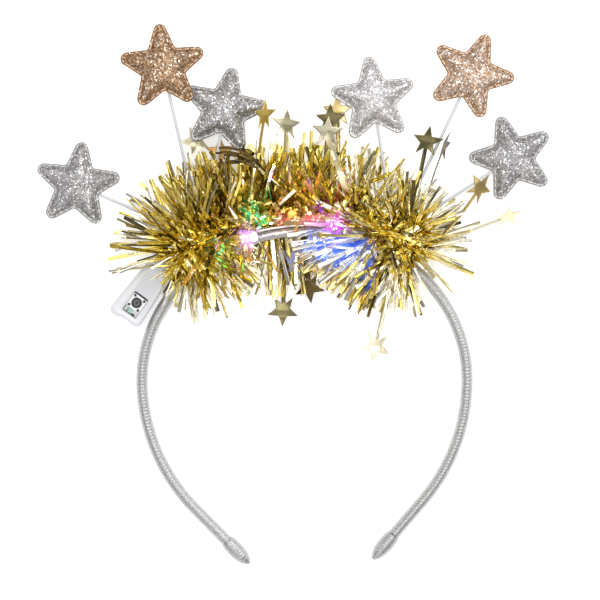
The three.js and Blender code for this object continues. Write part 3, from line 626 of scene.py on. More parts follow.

# %% Where the six stars stand, and their glitter
# The last column is the share of each star's flakes painted near white as painted glints, larger on stars
# that catch more light.
STARS = [  # x, y, forward, clockwise turn, root angle on the band, glitter, sparkling share
    (-89.6, 83.1, 1, 8.9, -33.3, "silver", 0.14),
    (-52.8, 129.7, 6, -2.6, -31.4, "rose", 0.19),
    (-28.7, 111.4, -2, 13.9, -29.5, "silver", 0.17),
    (32.2, 113.5, 2, -4.2, 30.0, "silver painted lighter", 0.14),
    (72.1, 122.0, 5, 24.1, 31.9, "blush", 0.24),
    (87.9, 87.5, 0, -14.6, 33.8, "silver", 0.14),
]
# The edge part is a darker copy of the cloth: painted shade at the outer edge, between the stitches and
# in the groove.
GLITTER = {  # cloth under the flakes, its edge, the stitches, then two flat flakes and the sparkling one
    "silver": [
        (0.38, 0.37, 0.365), (0.32, 0.31, 0.30), (0.66, 0.65, 0.635),
        (0.28, 0.27, 0.27), (0.43, 0.42, 0.42), (0.99, 0.98, 0.97),
    ],
    # A lighter copy of the silver: painted light for the star that catches more of it.
    "silver painted lighter": [
        (0.57, 0.555, 0.55), (0.46, 0.445, 0.435), (0.80, 0.79, 0.77),
        (0.45, 0.435, 0.435), (0.60, 0.585, 0.585), (1.00, 0.99, 0.98),
    ],
    "rose": [
        (0.36, 0.205, 0.105), (0.20, 0.105, 0.045), (0.76, 0.49, 0.31),
        (0.22, 0.115, 0.05), (0.48, 0.31, 0.185), (1.00, 0.90, 0.79),
    ],
    # The rose made a little pinker, and lighter as painted light for the star that catches more of it.
    "blush": [
        (0.54, 0.365, 0.25), (0.26, 0.15, 0.072), (0.84, 0.57, 0.38),
        (0.31, 0.19, 0.115), (0.66, 0.495, 0.385), (1.00, 0.96, 0.93),
    ],
}
# The near-white flake is a painted glint: its colour, not only its tilt, makes it flash.
GLITTER_PARTS = {  # roughness and metal of each part's finish
    "cloth": (0.42, 0.3), "edge": (0.42, 0.3), "stitch": (0.42, 0.3),
    "flake_dark": (0.25, 0.6), "flake_light": (0.25, 0.6), "sparkle": (0.15, 0.85),
}
CLOTH, PAINTED_EDGE_SHADE, STITCH, FLAKE_DARK, _, PAINTED_GLINT = range(len(GLITTER_PARTS))


def glitter_finish(glitter):
    """Finishes of one kind of star: three parts of its cloth, the edge part a painted shade, two flat
    flakes and the near-white flake that is a painted glint.
    """
    finishes = []
    for (part, shine), colour in zip(GLITTER_PARTS.items(), GLITTER[glitter]):
        finishes.append(finish_material(f"{glitter}_{part}".replace(" ", "_"), colour, *shine))
    for cloth in finishes[:FLAKE_DARK]:
        add_grain(cloth, size_mm=0.45, bump_mm=0.10)
    return finishes


star_finishes = {glitter: glitter_finish(glitter) for glitter in GLITTER}
print("glitter:", len(star_finishes), "kinds of", len(GLITTER_PARTS), "finishes each")

# %% The stars' sticks
STICK_RADIUS = 0.65
STICK_SIDES = 12
STICK_STEPS = 28
STICK_INSERT = 5.0
STICK_BEND_OUTWARD = 11.0
STICK_ROOT_FORWARD = -1.6
STICK_STRAIGHT_SHARE = 0.85
STICK_GAP = 0.3

stick_white = finish_material("stick_white", (0.64, 0.65, 0.68), roughness=0.45, Coat_Weight=0.2)
add_grain(stick_white, size_mm=0.6, bump_mm=0.03, stretch=(3, 3, 1))


def stick_path(x, y, forward, root):
    """Out of the star, straight down, then over to the band behind the garland."""
    middle = np.array([x, y, forward], float)
    bend = beside(root, STICK_BEND_OUTWARD, STICK_ROOT_FORWARD)
    foot = beside(root, BAND_HALF_THICK + STICK_GAP, STICK_ROOT_FORWARD)
    top = middle + unit(bend - middle) * (STAR_NOTCH_RADIUS - STICK_INSERT)
    straight_end = top + (bend - top) * STICK_STRAIGHT_SHARE
    turn_end = bend + (foot - bend) * (1 - STICK_STRAIGHT_SHARE)
    return smooth_path([top, (top + straight_end) / 2, straight_end, turn_end, foot], STICK_STEPS)


for number, (x, y, forward, _, root, *_) in enumerate(STARS, 1):
    path = stick_path(x, y, forward, root)
    make_piece(
        f"star_stick_{number}", to_row(tube(path, STICK_RADIUS, STICK_SIDES)),
        ring_faces(len(path), STICK_SIDES), [stick_white], replaces=[f"stick_{number}"],
    )
print("sticks:", len(STARS), "of", 2 * STICK_RADIUS, "mm")

# %% The six padded stars
STAR_SEED = 100
for number, (x, y, forward, turn, _, glitter, painted_glint_share) in enumerate(STARS, 1):
    rng = np.random.default_rng(STAR_SEED + number)
    cushion = puffed(star_points, rng)
    points, faces = cushion, list(star_faces)
    # Faces at the outer edge, between the stitches and in the groove take the edge part, a painted shade.
    face_shades = np.where(on_stitch, STITCH, np.where(on_dome, CLOTH, PAINTED_EDGE_SHADE))
    for zone in FLAKE_ZONES:
        flakes, flake_faces, painted_glints = flakes_on(cushion, rng, zone, painted_glint_share)
        faces += [[i + len(points) for i in face] for face in flake_faces]
        points = np.vstack([points, flakes])
        # Flakes picked as glints take the near-white painted glint; the rest a darker or a lighter tone
        # at random.
        flat_shades = rng.integers(FLAKE_DARK, PAINTED_GLINT, len(painted_glints))
        flake_shades = np.where(painted_glints, PAINTED_GLINT, flat_shades)
        face_shades = np.concatenate([face_shades, np.tile(flake_shades, len(FLAKE_FACES))])
    angle = math.radians(-turn)
    spun = points.copy()
    spun[:, 0] = points[:, 0] * math.cos(angle) - points[:, 1] * math.sin(angle)
    spun[:, 1] = points[:, 0] * math.sin(angle) + points[:, 1] * math.cos(angle)
    star = make_piece(
        f"padded_star_{number}", to_row(spun + (x, y, forward)), faces,
        star_finishes[glitter], replaces=[f"glitter_star_{number}"],
        face_materials=face_shades, smooth=np.arange(len(faces)) < len(star_faces),
    )
print("stars:", len(STARS), "with", sum(count for _, count, _ in FLAKE_ZONES), "flakes each")

# %% [markdown]
# ## The tinsel garland
# Tinsel is thousands of narrow strips of metal foil held in a twisted wire. Hair particles would give
# round threads; foil is flat, and its look comes from flat faces that mirror light or dark. So each
# strip is a thin closed ribbon of its own, with square-cut ends, a slight bow and twist, and now and
# then a kink. The strips start on the garland's core, stand out all round it, fan out at its two ends,
# lie along the table where they meet it and keep out of the band, the box and the stars.

# %% Core of the garland
GARLAND_ROUTE = np.array(
    [  # angle from the crown, outward, forward
        (-42, 7.6, 3.4), (-33, 8.2, 3.4), (-18, 7.2, 0.0), (-7, 6.0, -5.0),
        (7, 6.0, -5.0), (18, 6.4, -1.5), (34, 6.4, 4.0), (44, 6.4, 3.6),
    ]
)
CORE_STEPS = 120


def garland_at(angle):
    """The middle of the garland at an angle from the crown."""
    return beside(angle, *at_run(angle, GARLAND_ROUTE[:, 0], GARLAND_ROUTE[:, 1:]).T)


core_angles = np.linspace(GARLAND_ROUTE[0, 0], GARLAND_ROUTE[-1, 0], CORE_STEPS)
core_path = garland_at(core_angles)
core_way = unit(np.gradient(core_path, axis=0))
core_run = run_along(core_path)
print("garland core:", round(core_run[-1], 1), "mm long")

# %% Where the battery box lies
BOX_END = (-73.3, 27.3)
BOX_TURN = math.radians(52)
BOX_WIDTH, BOX_TOP_WIDTH, BOX_LENGTH, BOX_DEPTH = 14.4, 10.6, 30.5, 12.0
box_lean = math.atan2((BOX_WIDTH - BOX_TOP_WIDTH) / 2, BOX_LENGTH)


def box_to_row(points):
    """Points (across, along, up) of the battery box, in millimetres, as metres in the frame."""
    across, along, up = np.moveaxis(np.asarray(points, float), -1, 0)
    x = BOX_END[0] + shift_x + across * math.sin(BOX_TURN) + along * math.cos(BOX_TURN)
    y = BOX_END[1] + shift_y - across * math.cos(BOX_TURN) + along * math.sin(BOX_TURN)
    return MM * np.stack([x, y, up], -1)


def row_to_box(points):
    """The other way: metres in the frame to millimetres in the box."""
    x = points[..., 0] / MM - BOX_END[0] - shift_x
    y = points[..., 1] / MM - BOX_END[1] - shift_y
    across = x * math.sin(BOX_TURN) - y * math.cos(BOX_TURN)
    along = x * math.cos(BOX_TURN) + y * math.sin(BOX_TURN)
    return np.stack([across, along, points[..., 2] / MM], -1)


def from_row(points):
    """Metres in the frame back to the band's plane, in millimetres."""
    x, y, z = np.moveaxis(np.asarray(points, float) / MM, -1, 0)
    rise, flat = math.sin(REST_TILT), math.cos(REST_TILT)
    y, z = y - shift_y, z - shift_z
    return np.stack([x - shift_x, y * flat + z * rise, z * flat - y * rise], -1)


print("battery box: lower end at", BOX_END, "mm, turned", round(math.degrees(BOX_TURN)), "degrees")

# %% Where the lights sit
LIGHTS = [  # name, angle, outward, forward, colour, white at the tip, watts
    ("green", -28.2, 1.6, 7.2, (0.05, 0.60, 0.24), 0.1, 0.0003),
    ("violet", -16.0, 0.6, 7.0, (0.60, 0.30, 1.00), 0.9, 0.0022),
    ("green", -13.3, 8.8, 7.0, (0.05, 0.60, 0.24), 0.1, 0.0004),
    ("orange", -2.2, 6.8, 5.0, (1.00, 0.36, 0.04), 0.1, 0.0002),
    ("magenta", 13.2, 4.0, 7.0, (0.85, 0.08, 0.75), 0.1, 0.0007),
    ("blue", 10.2, -8.3, 9.4, (0.10, 0.20, 1.00), 0.3, 0.0020),
]
# Patches of painted glow: strips near each patch get emission and a whiter, tinted base colour that stand
# for the light the bulbs throw on the foil.
GLOWS = [  # colour, white share, coloured share, brightness, x, y, forward, reach, strips laid over
    ((0.14, 0.70, 0.40), 0.46, 0.18, 0.6, -33.8, 56.2, 9.0, 3.2, 26),
    ((0.05, 0.62, 0.24), 0.14, 0.30, 0.5, -19.0, 69.6, 9.0, 3.4, 30),
    ((0.06, 0.70, 0.20), 0.12, 0.42, 0.7, -14.6, 65.0, 9.0, 2.6, 16),
    ((0.90, 0.20, 0.22), 0.26, 0.40, 0.5, -6.8, 66.3, 6.0, 2.4, 14),
    ((0.54, 0.28, 1.00), 0.60, 0.35, 2.2, -20.2, 59.6, 8.0, 3.5, 20),
    ((1.00, 0.46, 0.05), 0.16, 0.54, 0.8, -1.5, 64.5, 5.5, 2.6, 14),
    ((1.00, 0.20, 0.12), 0.34, 0.46, 0.7, 5.5, 65.8, 7.0, 3.4, 26),
    ((0.92, 0.06, 0.72), 0.22, 0.60, 1.0, 15.2, 63.4, 8.5, 3.8, 44),
    ((0.24, 0.08, 0.85), 0.10, 0.40, 0.6, 9.0, 70.6, 7.0, 2.0, 8),
    ((0.16, 0.32, 1.00), 0.52, 0.38, 0.7, 5.0, 56.6, 9.0, 6.2, 44),
    ((0.10, 0.24, 1.00), 0.58, 0.28, 0.7, 15.0, 53.6, 10.0, 7.6, 56),
    ((0.08, 0.20, 1.00), 0.56, 0.22, 0.7, 24.0, 50.0, 10.0, 6.4, 30),
    ((0.03, 0.16, 0.90), 0.00, 0.50, 0.7, 27.1, 38.8, 8.0, 2.6, 0),
    ((0.90, 0.20, 0.90), 0.20, 0.40, 0.8, -2.9, 50.6, 3.0, 1.8, 0),
    ((0.15, 0.15, 0.95), 0.00, 0.50, 0.6, -3.8, 36.2, -4.0, 2.2, 0),
    ((0.10, 0.80, 0.50), 0.30, 0.40, 0.6, -25.0, 39.1, 0.0, 2.2, 0),
]
OPEN_LIGHT = 1
OPEN_LIGHT_REACH = 1.8
light_places = np.array([beside(angle, outward, forward) for _, angle, outward, forward, *_ in LIGHTS])
print("lights at", np.round(light_places, 1).tolist())

# %% Kinds of strips and how they lie
ALL_ROUND = None
# The pale kinds are strips whose tips are more often painted pale, a painted reflection.
STRIP_KINDS = [  # kind, count, angles on the core, lengths, headings, rise, lift, bow, kinked share
    ("fringe", 176, (-39, -14), (26.0, 33.0), ALL_ROUND, None, (0, 0), 0.05, 0.15),
    ("crown", 180, (-14, 16), (26.0, 33.0), (40, 140), (-0.8, 0.9), (0, 0), 0.05, 0.15),
    ("crown", 80, (-32, -12), (28.0, 34.0), (62, 128), (-0.2, 0.6), (0, 0), 0.05, 0.15),
    ("tuft", 80, (-14, 16), (22.0, 30.0), (222, 318), (-0.9, 0.3), (0, 0), 0.05, 0.2),
    ("pale fringe", 160, (16, 40), (26.0, 33.0), ALL_ROUND, None, (0, 0), 0.05, 0.15),
    ("burst", 140, (-40, -30), (27.0, 37.0), (70, 205), (-0.7, 0.6), (0, 0), 0.04, 0.12),
    ("tuft", 60, (-40, -30), (25.0, 32.0), (205, 345), (-0.7, 0.6), (0, 0), 0.04, 0.12),
    ("burst", 10, (-41, -33), (20.0, 26.0), (232, 288), (-0.3, 0.25), (0, 3), 0.04, 0.12),
    ("pale burst", 190, (27, 40), (24.5, 31.0), (0, 360), (-0.7, 0.6), (0, 0), 0.04, 0.12),
    ("tuft", 64, (24, 36), (27.0, 35.0), (225, 300), (-0.5, 0.3), (0, 3), 0.04, 0.12),
    ("tuft", 190, (19, 31), (18.0, 33.0), (176, 246), (0.0, 0.3), (4, 8), 0.05, 0.2),
    ("crumple", 520, (-41, 42), (6.0, 13.0), (0, 360), (-0.9, 0.9), (-6, 10), 0.30, 0.8),
    ("crumple", 200, (20, 41), (6.0, 12.0), (0, 360), (-0.2, 0.5), (3, 10), 0.30, 0.7),
    ("crumple", 110, (-41, -28), (6.0, 12.0), (0, 360), (-0.2, 0.5), (3, 10), 0.30, 0.7),
    ("crumple", 50, (-42, -40), (5.0, 10.0), (210, 290), (-0.1, 0.3), (6, 11), 0.30, 0.8),
    ("fringe", 30, (-12, -1), (27.0, 34.0), (255, 282), (-0.35, 0.1), (0, 0), 0.05, 0.2),
]
TRIES_PER_STRIP = 5
STRIP_WIDTH = (1.0, 1.9)
STRIP_THICK = 0.05
STRIP_CREASE = (0.02, 0.14)
STRIP_STEPS = 6
TINSEL_SEED = 7
STRIP_ROLL = math.radians(60)
STRIP_TWIST = math.radians(30)
KINK_LEAN = 0.25
KINK_FROM = (0.35, 0.75)
LOOSE_LEAN = math.radians(50)
OVER_SPREAD = 0.45
OVER_AHEAD = (-0.4, 1.6)
OVER_ROOT = (-5.0, 5.0)
OVER_REACH = (2.5, 6.0)
OVER_RISE = 0.3


def on_core(angle):
    return at_run(angle, core_angles, core_path)


def strip_headings(angle, headings, rise):
    """Which way each strip leaves the core: all round it, or in a fan of compass headings."""
    count = len(angle)
    if headings is ALL_ROUND:
        way = unit(at_run(angle, core_angles, core_way))
        outward = unit(np.cross(UP, way))
        lean = LOOSE_LEAN * (rng.random(count) - 0.5)
        turn = rng.random(count) * 2 * math.pi
        heading = outward * (np.cos(turn) * np.cos(lean))[:, None] + way * np.sin(lean)[:, None]
        heading[:, 2] += np.sin(turn) * np.cos(lean)
        return unit(heading)
    turn = np.radians(rng.uniform(*headings, count))
    up = rng.uniform(*rise, count)
    flat = np.sqrt(1 - up**2)
    return np.stack([flat * np.cos(turn), flat * np.sin(turn), up], -1)


rng = np.random.default_rng(TINSEL_SEED)
wanted = sum(count for _, count, *_ in STRIP_KINDS)
print("tinsel:", wanted, "strips wanted in", len(STRIP_KINDS), "lots")


# %% Paths of the strips
def strip_paths(count, angles, lengths, headings, rise, lift, bow, kinked):
    """Candidate strips as (count, steps, 3) points in the band's plane."""
    angle = rng.uniform(*angles, count)
    root = on_core(angle)
    root[:, 2] += rng.uniform(*lift, count)
    heading = strip_headings(angle, headings, rise)
    length = rng.uniform(*lengths, count)[:, None]
    bend = np.cross(heading, rng.normal(size=(count, 3))) * bow * length
    kink = np.cross(heading, rng.normal(size=(count, 3))) * KINK_LEAN * length
    kink *= (rng.random((count, 1)) < kinked)
    t = np.linspace(0, 1, STRIP_STEPS + 1)[None, :, None]
    past = np.clip(t - rng.uniform(*KINK_FROM, count)[:, None, None], 0, 1)
    straight = root[:, None] + heading[:, None] * length[:, None] * t
    return straight + bend[:, None] * t**2 + kink[:, None] * past


def drawn_over(root, pull, end, t):
    """A curve from root to end that is drawn towards the pull on its way."""
    return root * (1 - t) ** 2 + pull * 2 * t * (1 - t) + end * t**2


def strips_over(place, reach, count):
    """Strips that come up from the core, pass over a light and curl on a little way past it."""
    angle = math.degrees(math.atan2(place[0] / BAND_HALF_WIDTH, place[1] / BAND_CROWN_RISE))
    root = on_core(angle + rng.uniform(*OVER_ROOT, count))
    over = place + rng.normal(size=(count, 3)) * reach * OVER_SPREAD
    over[:, 2] = place[2] + rng.uniform(*OVER_AHEAD, count)
    turn = rng.uniform(0, 2 * math.pi, count)
    on = np.stack([np.cos(turn), np.sin(turn), OVER_RISE * rng.normal(size=count)], -1)
    end = over + on * rng.uniform(*OVER_REACH, (count, 1))
    pull = 2 * over - (root + end) / 2
    t = np.linspace(0, 1, STRIP_STEPS + 1)[None, :, None]
    return drawn_over(root[:, None], pull[:, None], end[:, None], t)


print("paths: each strip is drawn with", STRIP_STEPS + 1, "points")

# %% Strips that grow round everything else
FLOOR_CLEAR = 0.001
FLOOR_SPREAD = 0.6
BAND_CLEAR = 0.35
BAND_NEAR_ABOVE, BAND_NEAR_STEP = -10, 12
OPEN_CROWN = (-12.5, 7.0)
OPEN_LEG = 45.0
OPEN_MARGIN = 0.8
OPEN_BOX = 20.0
BOX_CLEAR, BOX_END_CLEAR = 0.4, 0.5
STAR_CLEAR = 4.0
SEEN_THROUGH = 0.03


def lie_on_table(path):
    """Low points move up to the table and the strip spreads outwards along it."""
    low = np.minimum(path[..., 2] - FLOOR_CLEAR, 0)
    root = path[:, :1]
    flat = path - root
    flat[..., 2] = 0
    path = path + unit(flat) * (-low[..., None]) * FLOOR_SPREAD
    path[..., 2] = np.maximum(path[..., 2], FLOOR_CLEAR)
    return path


def clear_of_pieces(path):
    """Which strips miss the band, the box and the stars. path is in the band's plane."""
    near = centreline[centreline[:, 1] > BAND_NEAR_ABOVE][::BAND_NEAR_STEP]
    flat = path[..., :2].reshape(-1, 2)
    gap = np.full(len(flat), np.inf)
    where = np.zeros(len(flat), int)
    for k, point in enumerate(near):
        far = np.hypot(flat[:, 0] - point[0], flat[:, 1] - point[1])
        where = np.where(far < gap, k, where)
        gap = np.minimum(gap, far)
    depth = path[..., 2].reshape(-1)
    oval = (gap / (BAND_HALF_THICK + BAND_CLEAR)) ** 2 + (depth / (BAND_HALF_DEPTH + BAND_CLEAR)) ** 2
    angle = np.degrees(np.arctan2(near[where, 0] / BAND_HALF_WIDTH, near[where, 1] / BAND_CROWN_RISE))
    bare = (angle > OPEN_CROWN[0]) & (angle < OPEN_CROWN[1]) | (angle > OPEN_LEG)
    covers = (gap < BAND_HALF_THICK + OPEN_MARGIN) & (depth > 0) & bare
    in_box = row_to_box(to_row(path)).reshape(-1, 3)
    box_half = BOX_WIDTH / 2 - in_box[:, 1] * math.tan(box_lean)
    over_box = (np.abs(in_box[:, 0]) < box_half + BOX_CLEAR) & (in_box[:, 1] > -BOX_END_CLEAR)
    to_light = flat - light_places[OPEN_LIGHT, :2]
    covers |= (np.hypot(*to_light.T) < OPEN_LIGHT_REACH) & (depth > light_places[OPEN_LIGHT, 2])
    covers &= np.repeat(rng.random(len(path)) > SEEN_THROUGH, path.shape[1])
    bad = (oval < 1) | covers | over_box & (in_box[:, 1] < OPEN_BOX)
    bad |= over_box & (in_box[:, 1] < BOX_LENGTH + BOX_CLEAR) & (in_box[:, 2] < BOX_DEPTH + BOX_CLEAR)
    for x, y, forward, *_ in STARS:
        near_star = np.hypot(flat[:, 0] - x, flat[:, 1] - y) < STAR_RADIUS
        bad |= near_star & (np.abs(depth - forward) < STAR_CLEAR)
    return ~bad.reshape(path.shape[:2]).any(1)


def finer(path, count):
    """The same strips with more points along them."""
    t = np.linspace(0, path.shape[1] - 1, count)
    k = np.minimum(t.astype(int), path.shape[1] - 2)
    return path[:, k] + (path[:, k + 1] - path[:, k]) * (t - k)[None, :, None]


groups, kinds = [], []


def keep_free(kind, count, candidates):
    """Keeps the wanted number of the strips that touch nothing, and prints what was found."""
    free = clear_of_pieces(finer(candidates, 2 * STRIP_STEPS + 1))
    groups.append(candidates[free][:count])
    kinds.extend([kind] * len(groups[-1]))
    print("tinsel,", kind, ":", len(groups[-1]), "kept,", free.sum(), "of", len(candidates), "were free")


for kind, count, *rest in STRIP_KINDS:
    keep_free(kind, count, strip_paths(count * TRIES_PER_STRIP, *rest))
for *_, x, y, forward, reach, count in GLOWS:
    keep_free("crumple", count, strips_over(np.array([x, y, forward]), reach, count * TRIES_PER_STRIP))
strips = lie_on_table(to_row(np.concatenate(groups)))

# %% Ribbons from the strips' paths
RIBBON_SIDES = 4


def ribbons(paths, widths, rolls, twists, creases):
    """Closed thin ribbons folded a little along their middle, four points to a ring, in metres."""
    count, steps, _ = paths.shape
    way = unit(np.gradient(paths, axis=1))
    helper = np.where(np.abs(way[:, :1, 2:]) < NEARLY_UPRIGHT, UP, RIGHT)
    side = unit(np.cross(way, helper))
    face = np.cross(way, side)
    roll = (rolls[:, None] + twists[:, None] * np.linspace(0, 1, steps)[None])[..., None]
    across = side * np.cos(roll) + face * np.sin(roll)
    up = np.cross(way, across)
    half = across * (widths * MM / 2)[:, None, None]
    fold = up * (creases * widths * MM)[:, None, None]
    thin = up * (STRIP_THICK * MM / 2)
    rings = np.stack([paths - half, paths + fold - thin, paths + half, paths + fold + thin], 2)
    one = np.array(ring_faces(steps, RIBBON_SIDES))
    faces = np.arange(count)[:, None, None] * steps * RIBBON_SIDES + one[None]
    return rings.reshape(-1, 3), faces.reshape(-1, RIBBON_SIDES)


strip_count = len(strips)
strip_shape = (  # widths, rolls, twists and creases
    rng.uniform(*STRIP_WIDTH, strip_count), rng.normal(0, STRIP_ROLL, strip_count),
    rng.normal(0, STRIP_TWIST, strip_count), rng.uniform(*STRIP_CREASE, strip_count),
)
print("ribbons:", strip_count, "strips of", STRIP_WIDTH[0], "to", STRIP_WIDTH[1], "mm")

# %% Gold foil
FOIL_ROUGH = 0.16
# One gold foil and three copies of it: pale is a painted reflection of bright light, deep the painted
# colour of light bounced between strips near the core, dark a painted reflection of the dim room.
FOIL_GOLD_AND_PAINTED_LIGHT = {
    "gold": (0.88, 0.735, 0.25),
    "pale": (0.93, 0.89, 0.76),
    "deep": (0.70, 0.56, 0.11),
    "dark": (0.21, 0.18, 0.10),
}
# Shares at the roots: mostly gold and the painted deep of light bounced about near the core.
ROOT_SHARES = (0.52, 0.06, 0.38, 0.04)
TIP_SHARES = {  # gold, pale, deep and dark share of the outer ends, by kind of strip
    "fringe": (0.38, 0.36, 0.14, 0.12),
    "pale fringe": (0.28, 0.52, 0.10, 0.10),
    "crown": (0.50, 0.18, 0.24, 0.08),
    "burst": (0.22, 0.48, 0.10, 0.20),
    "pale burst": (0.24, 0.60, 0.08, 0.08),
    "tuft": (0.16, 0.66, 0.08, 0.10),
    "crumple": (0.52, 0.10, 0.34, 0.04),
}
TIP_FROM = (0.25, 0.65)

foil_finishes = {
    name: finish_material(f"foil_{name}", colour, FOIL_ROUGH, metallic=1.0)
    for name, colour in FOIL_GOLD_AND_PAINTED_LIGHT.items()
}
for foil in foil_finishes.values():
    add_grain(foil, size_mm=1.6, bump_mm=0.03, detail=1.0)
print("gold foil:", ", ".join(FOIL_GOLD_AND_PAINTED_LIGHT))

# %% The lights' glow on the strips
# The strips are no lamps; their glow is painted, as emission and as a base colour turned white or to the
# light's hue.
LIT_LEAST = 0.2
LIT_STRENGTH = 1.0
LIT_WHITE = (0.92, 0.92, 0.94)
LIT_WHITENING = 1.5
LIT_DARK, LIT_HUE = 0.05, 0.45
LIT_PALE, LIT_PALE_GLOW = 0.6, 0.34
LIT_VARY = (0.3, 1.4)
DEPTH_COUNTS = 0.4
NO_GLOW = 1e-9


def glow_at(points):
    """The lights' glow at points of the band's plane: strength, shares, brightness and colour."""
    strong, white, coloured, bright = (np.zeros(points.shape[:-1]) for _ in range(4))
    colour = np.zeros(points.shape)
    for tint, white_share, coloured_share, brightness, x, y, forward, reach, _ in GLOWS:
        away = (points - (x, y, forward)) * (1, 1, DEPTH_COUNTS)
        near = np.exp(-((np.linalg.norm(away, axis=-1) / reach) ** 2))
        strong += near
        white += near * white_share
        coloured += near * coloured_share
        bright += near * brightness
        colour += (near * brightness)[..., None] * np.array(tint)
    total = np.maximum(strong, NO_GLOW)
    shared = np.minimum(strong, 1) / total
    return strong, white / total, coloured / total, bright * shared, colour * shared[..., None]


strong, white_share, coloured_share, bright, colour = glow_at(from_row(strips))
brightest = strong.argmax(1)[:, None]
chance = rng.random((strip_count, 1))
turned_white = chance < np.take_along_axis(white_share, brightest, 1)
caught = chance < np.take_along_axis(white_share + coloured_share, brightest, 1)
lit = (strong.max(axis=1) > LIT_LEAST) & caught[:, 0]
hue = colour / np.maximum(colour.max(-1, keepdims=True), NO_GLOW)
vary = rng.uniform(*LIT_VARY, strong.shape)[..., None]
pale_glow = LIT_PALE_GLOW * bright[..., None] * (LIT_PALE + (1 - LIT_PALE) * hue)
strip_glow = vary * np.where(turned_white[..., None], pale_glow, colour)
# Near the lights the strips' base colour is painted white or towards the light's hue.
tinted = np.where(turned_white[..., None], np.array(LIT_WHITE), LIT_DARK + LIT_HUE * hue)
whiter = np.clip(LIT_WHITENING * strong, 0, 1)[..., None]
lit_strips_painted_base = np.array(FOIL_GOLD_AND_PAINTED_LIGHT["gold"]) * (1 - whiter) + tinted * whiter
print("tinsel:", int((~lit).sum()), "plain strips and", int(lit.sum()), "in the lights' glow")

# %% Tinsel pieces
kinds = np.array(kinds)
root_foil = rng.choice(len(FOIL_GOLD_AND_PAINTED_LIGHT), strip_count, p=ROOT_SHARES)
tip_foil = np.zeros(strip_count, int)
for kind, shares in TIP_SHARES.items():
    tip_foil[kinds == kind] = rng.choice(len(FOIL_GOLD_AND_PAINTED_LIGHT), int((kinds == kind).sum()), p=shares)
outer = (np.arange(STRIP_STEPS) + 0.5) / STRIP_STEPS > rng.uniform(*TIP_FROM, (strip_count, 1))
run_foil = np.where(outer, tip_foil[:, None], root_foil[:, None])
side_foil = np.repeat(run_foil, RIBBON_SIDES, axis=1)
face_foil = np.concatenate([side_foil, root_foil[:, None], tip_foil[:, None]], 1)


def paint(piece, layer, values):
    """A colour layer on a piece's points, one row of red, green and blue for each point."""
    colours = piece.data.attributes.new(layer, "FLOAT_COLOR", "POINT")
    colours.data.foreach_set("color", np.concatenate([values, np.ones((len(values), 1))], 1).ravel())


points, faces = ribbons(strips[~lit], *[values[~lit] for values in strip_shape])
make_piece(
    "tinsel_strips", points, faces.tolist(), list(foil_finishes.values()),
    replaces=["tinsel_garland"], face_materials=face_foil[~lit].ravel(), smooth=False,
)
# The lit strips glow by emission though they are no lamps: painted light from the bulbs, over the painted
# base colour.
foil_lit = finish_material(
    "foil_lit", FOIL_GOLD_AND_PAINTED_LIGHT["gold"], FOIL_ROUGH, metallic=1.0, Emission_Strength=LIT_STRENGTH
)
points, faces = ribbons(strips[lit], *[values[lit] for values in strip_shape])
tinsel_lit = make_piece(
    "tinsel_lit", points, faces.tolist(), [foil_lit],
    replaces=["tinsel_garland"], smooth=False,
)
for layer, socket, values in (
    ("glow", "Emission Color", strip_glow),
    ("foil", "Base Color", lit_strips_painted_base),
):
    show_layer(foil_lit, layer, socket)
    paint(tinsel_lit, layer, np.repeat(values[lit], RIBBON_SIDES, axis=1).reshape(-1, 3))
print("tinsel pieces:", len(face_foil[~lit]), "strips in four shades,", len(points), "painted points")

# %% Twisted core wire
CORE_WIRE_RADIUS = 0.45
CORE_WIRE_SIDES = 6
CORE_WIRE_STEPS = 160
CORE_TURN = 4.0
core_wire = finish_material("core_wire", (0.45, 0.36, 0.16), roughness=0.35, metallic=1.0)
core_even = np.linspace(0, core_run[-1], CORE_WIRE_STEPS)
core_line = at_run(core_even, core_run, core_path)
core_side = unit(np.cross(np.gradient(core_line, axis=0), UP))
core_up = unit(np.cross(core_side, np.gradient(core_line, axis=0)))
strands = []
for opposite in (0, math.pi):
    turn = (core_even / CORE_TURN * 2 * math.pi + opposite)[:, None]
    line = core_line + CORE_WIRE_RADIUS * (core_side * np.cos(turn) + core_up * np.sin(turn))
    strands.append((tube(line, CORE_WIRE_RADIUS, CORE_WIRE_SIDES), len(line), CORE_WIRE_SIDES))
points, faces, _ = joined(strands)
make_piece(
    "garland_core", to_row(points), faces, [core_wire], replaces=["tinsel_garland"]
)
print("core wire: two strands twisted", CORE_TURN, "mm to the turn")

# %% [markdown]
# ## Punched foil stars
# Between the strips hang small stars punched from the same foil, each on a strip of its own. Real foil
# is never quite flat, so each star is a fine sheet that is rolled a little about its own axis, with arms
# bent up by chance, and its strip bows on the way to the core. The sheet gets a front, a back and an
# edge, so it is a closed piece. A few broad strips of the same foil then lie over the garland. Though
# the foil is one, each star and broad strip is coloured in a tone of its own, from pale to brown: the
# pale tones are painted reflections, the dark ones painted shade.

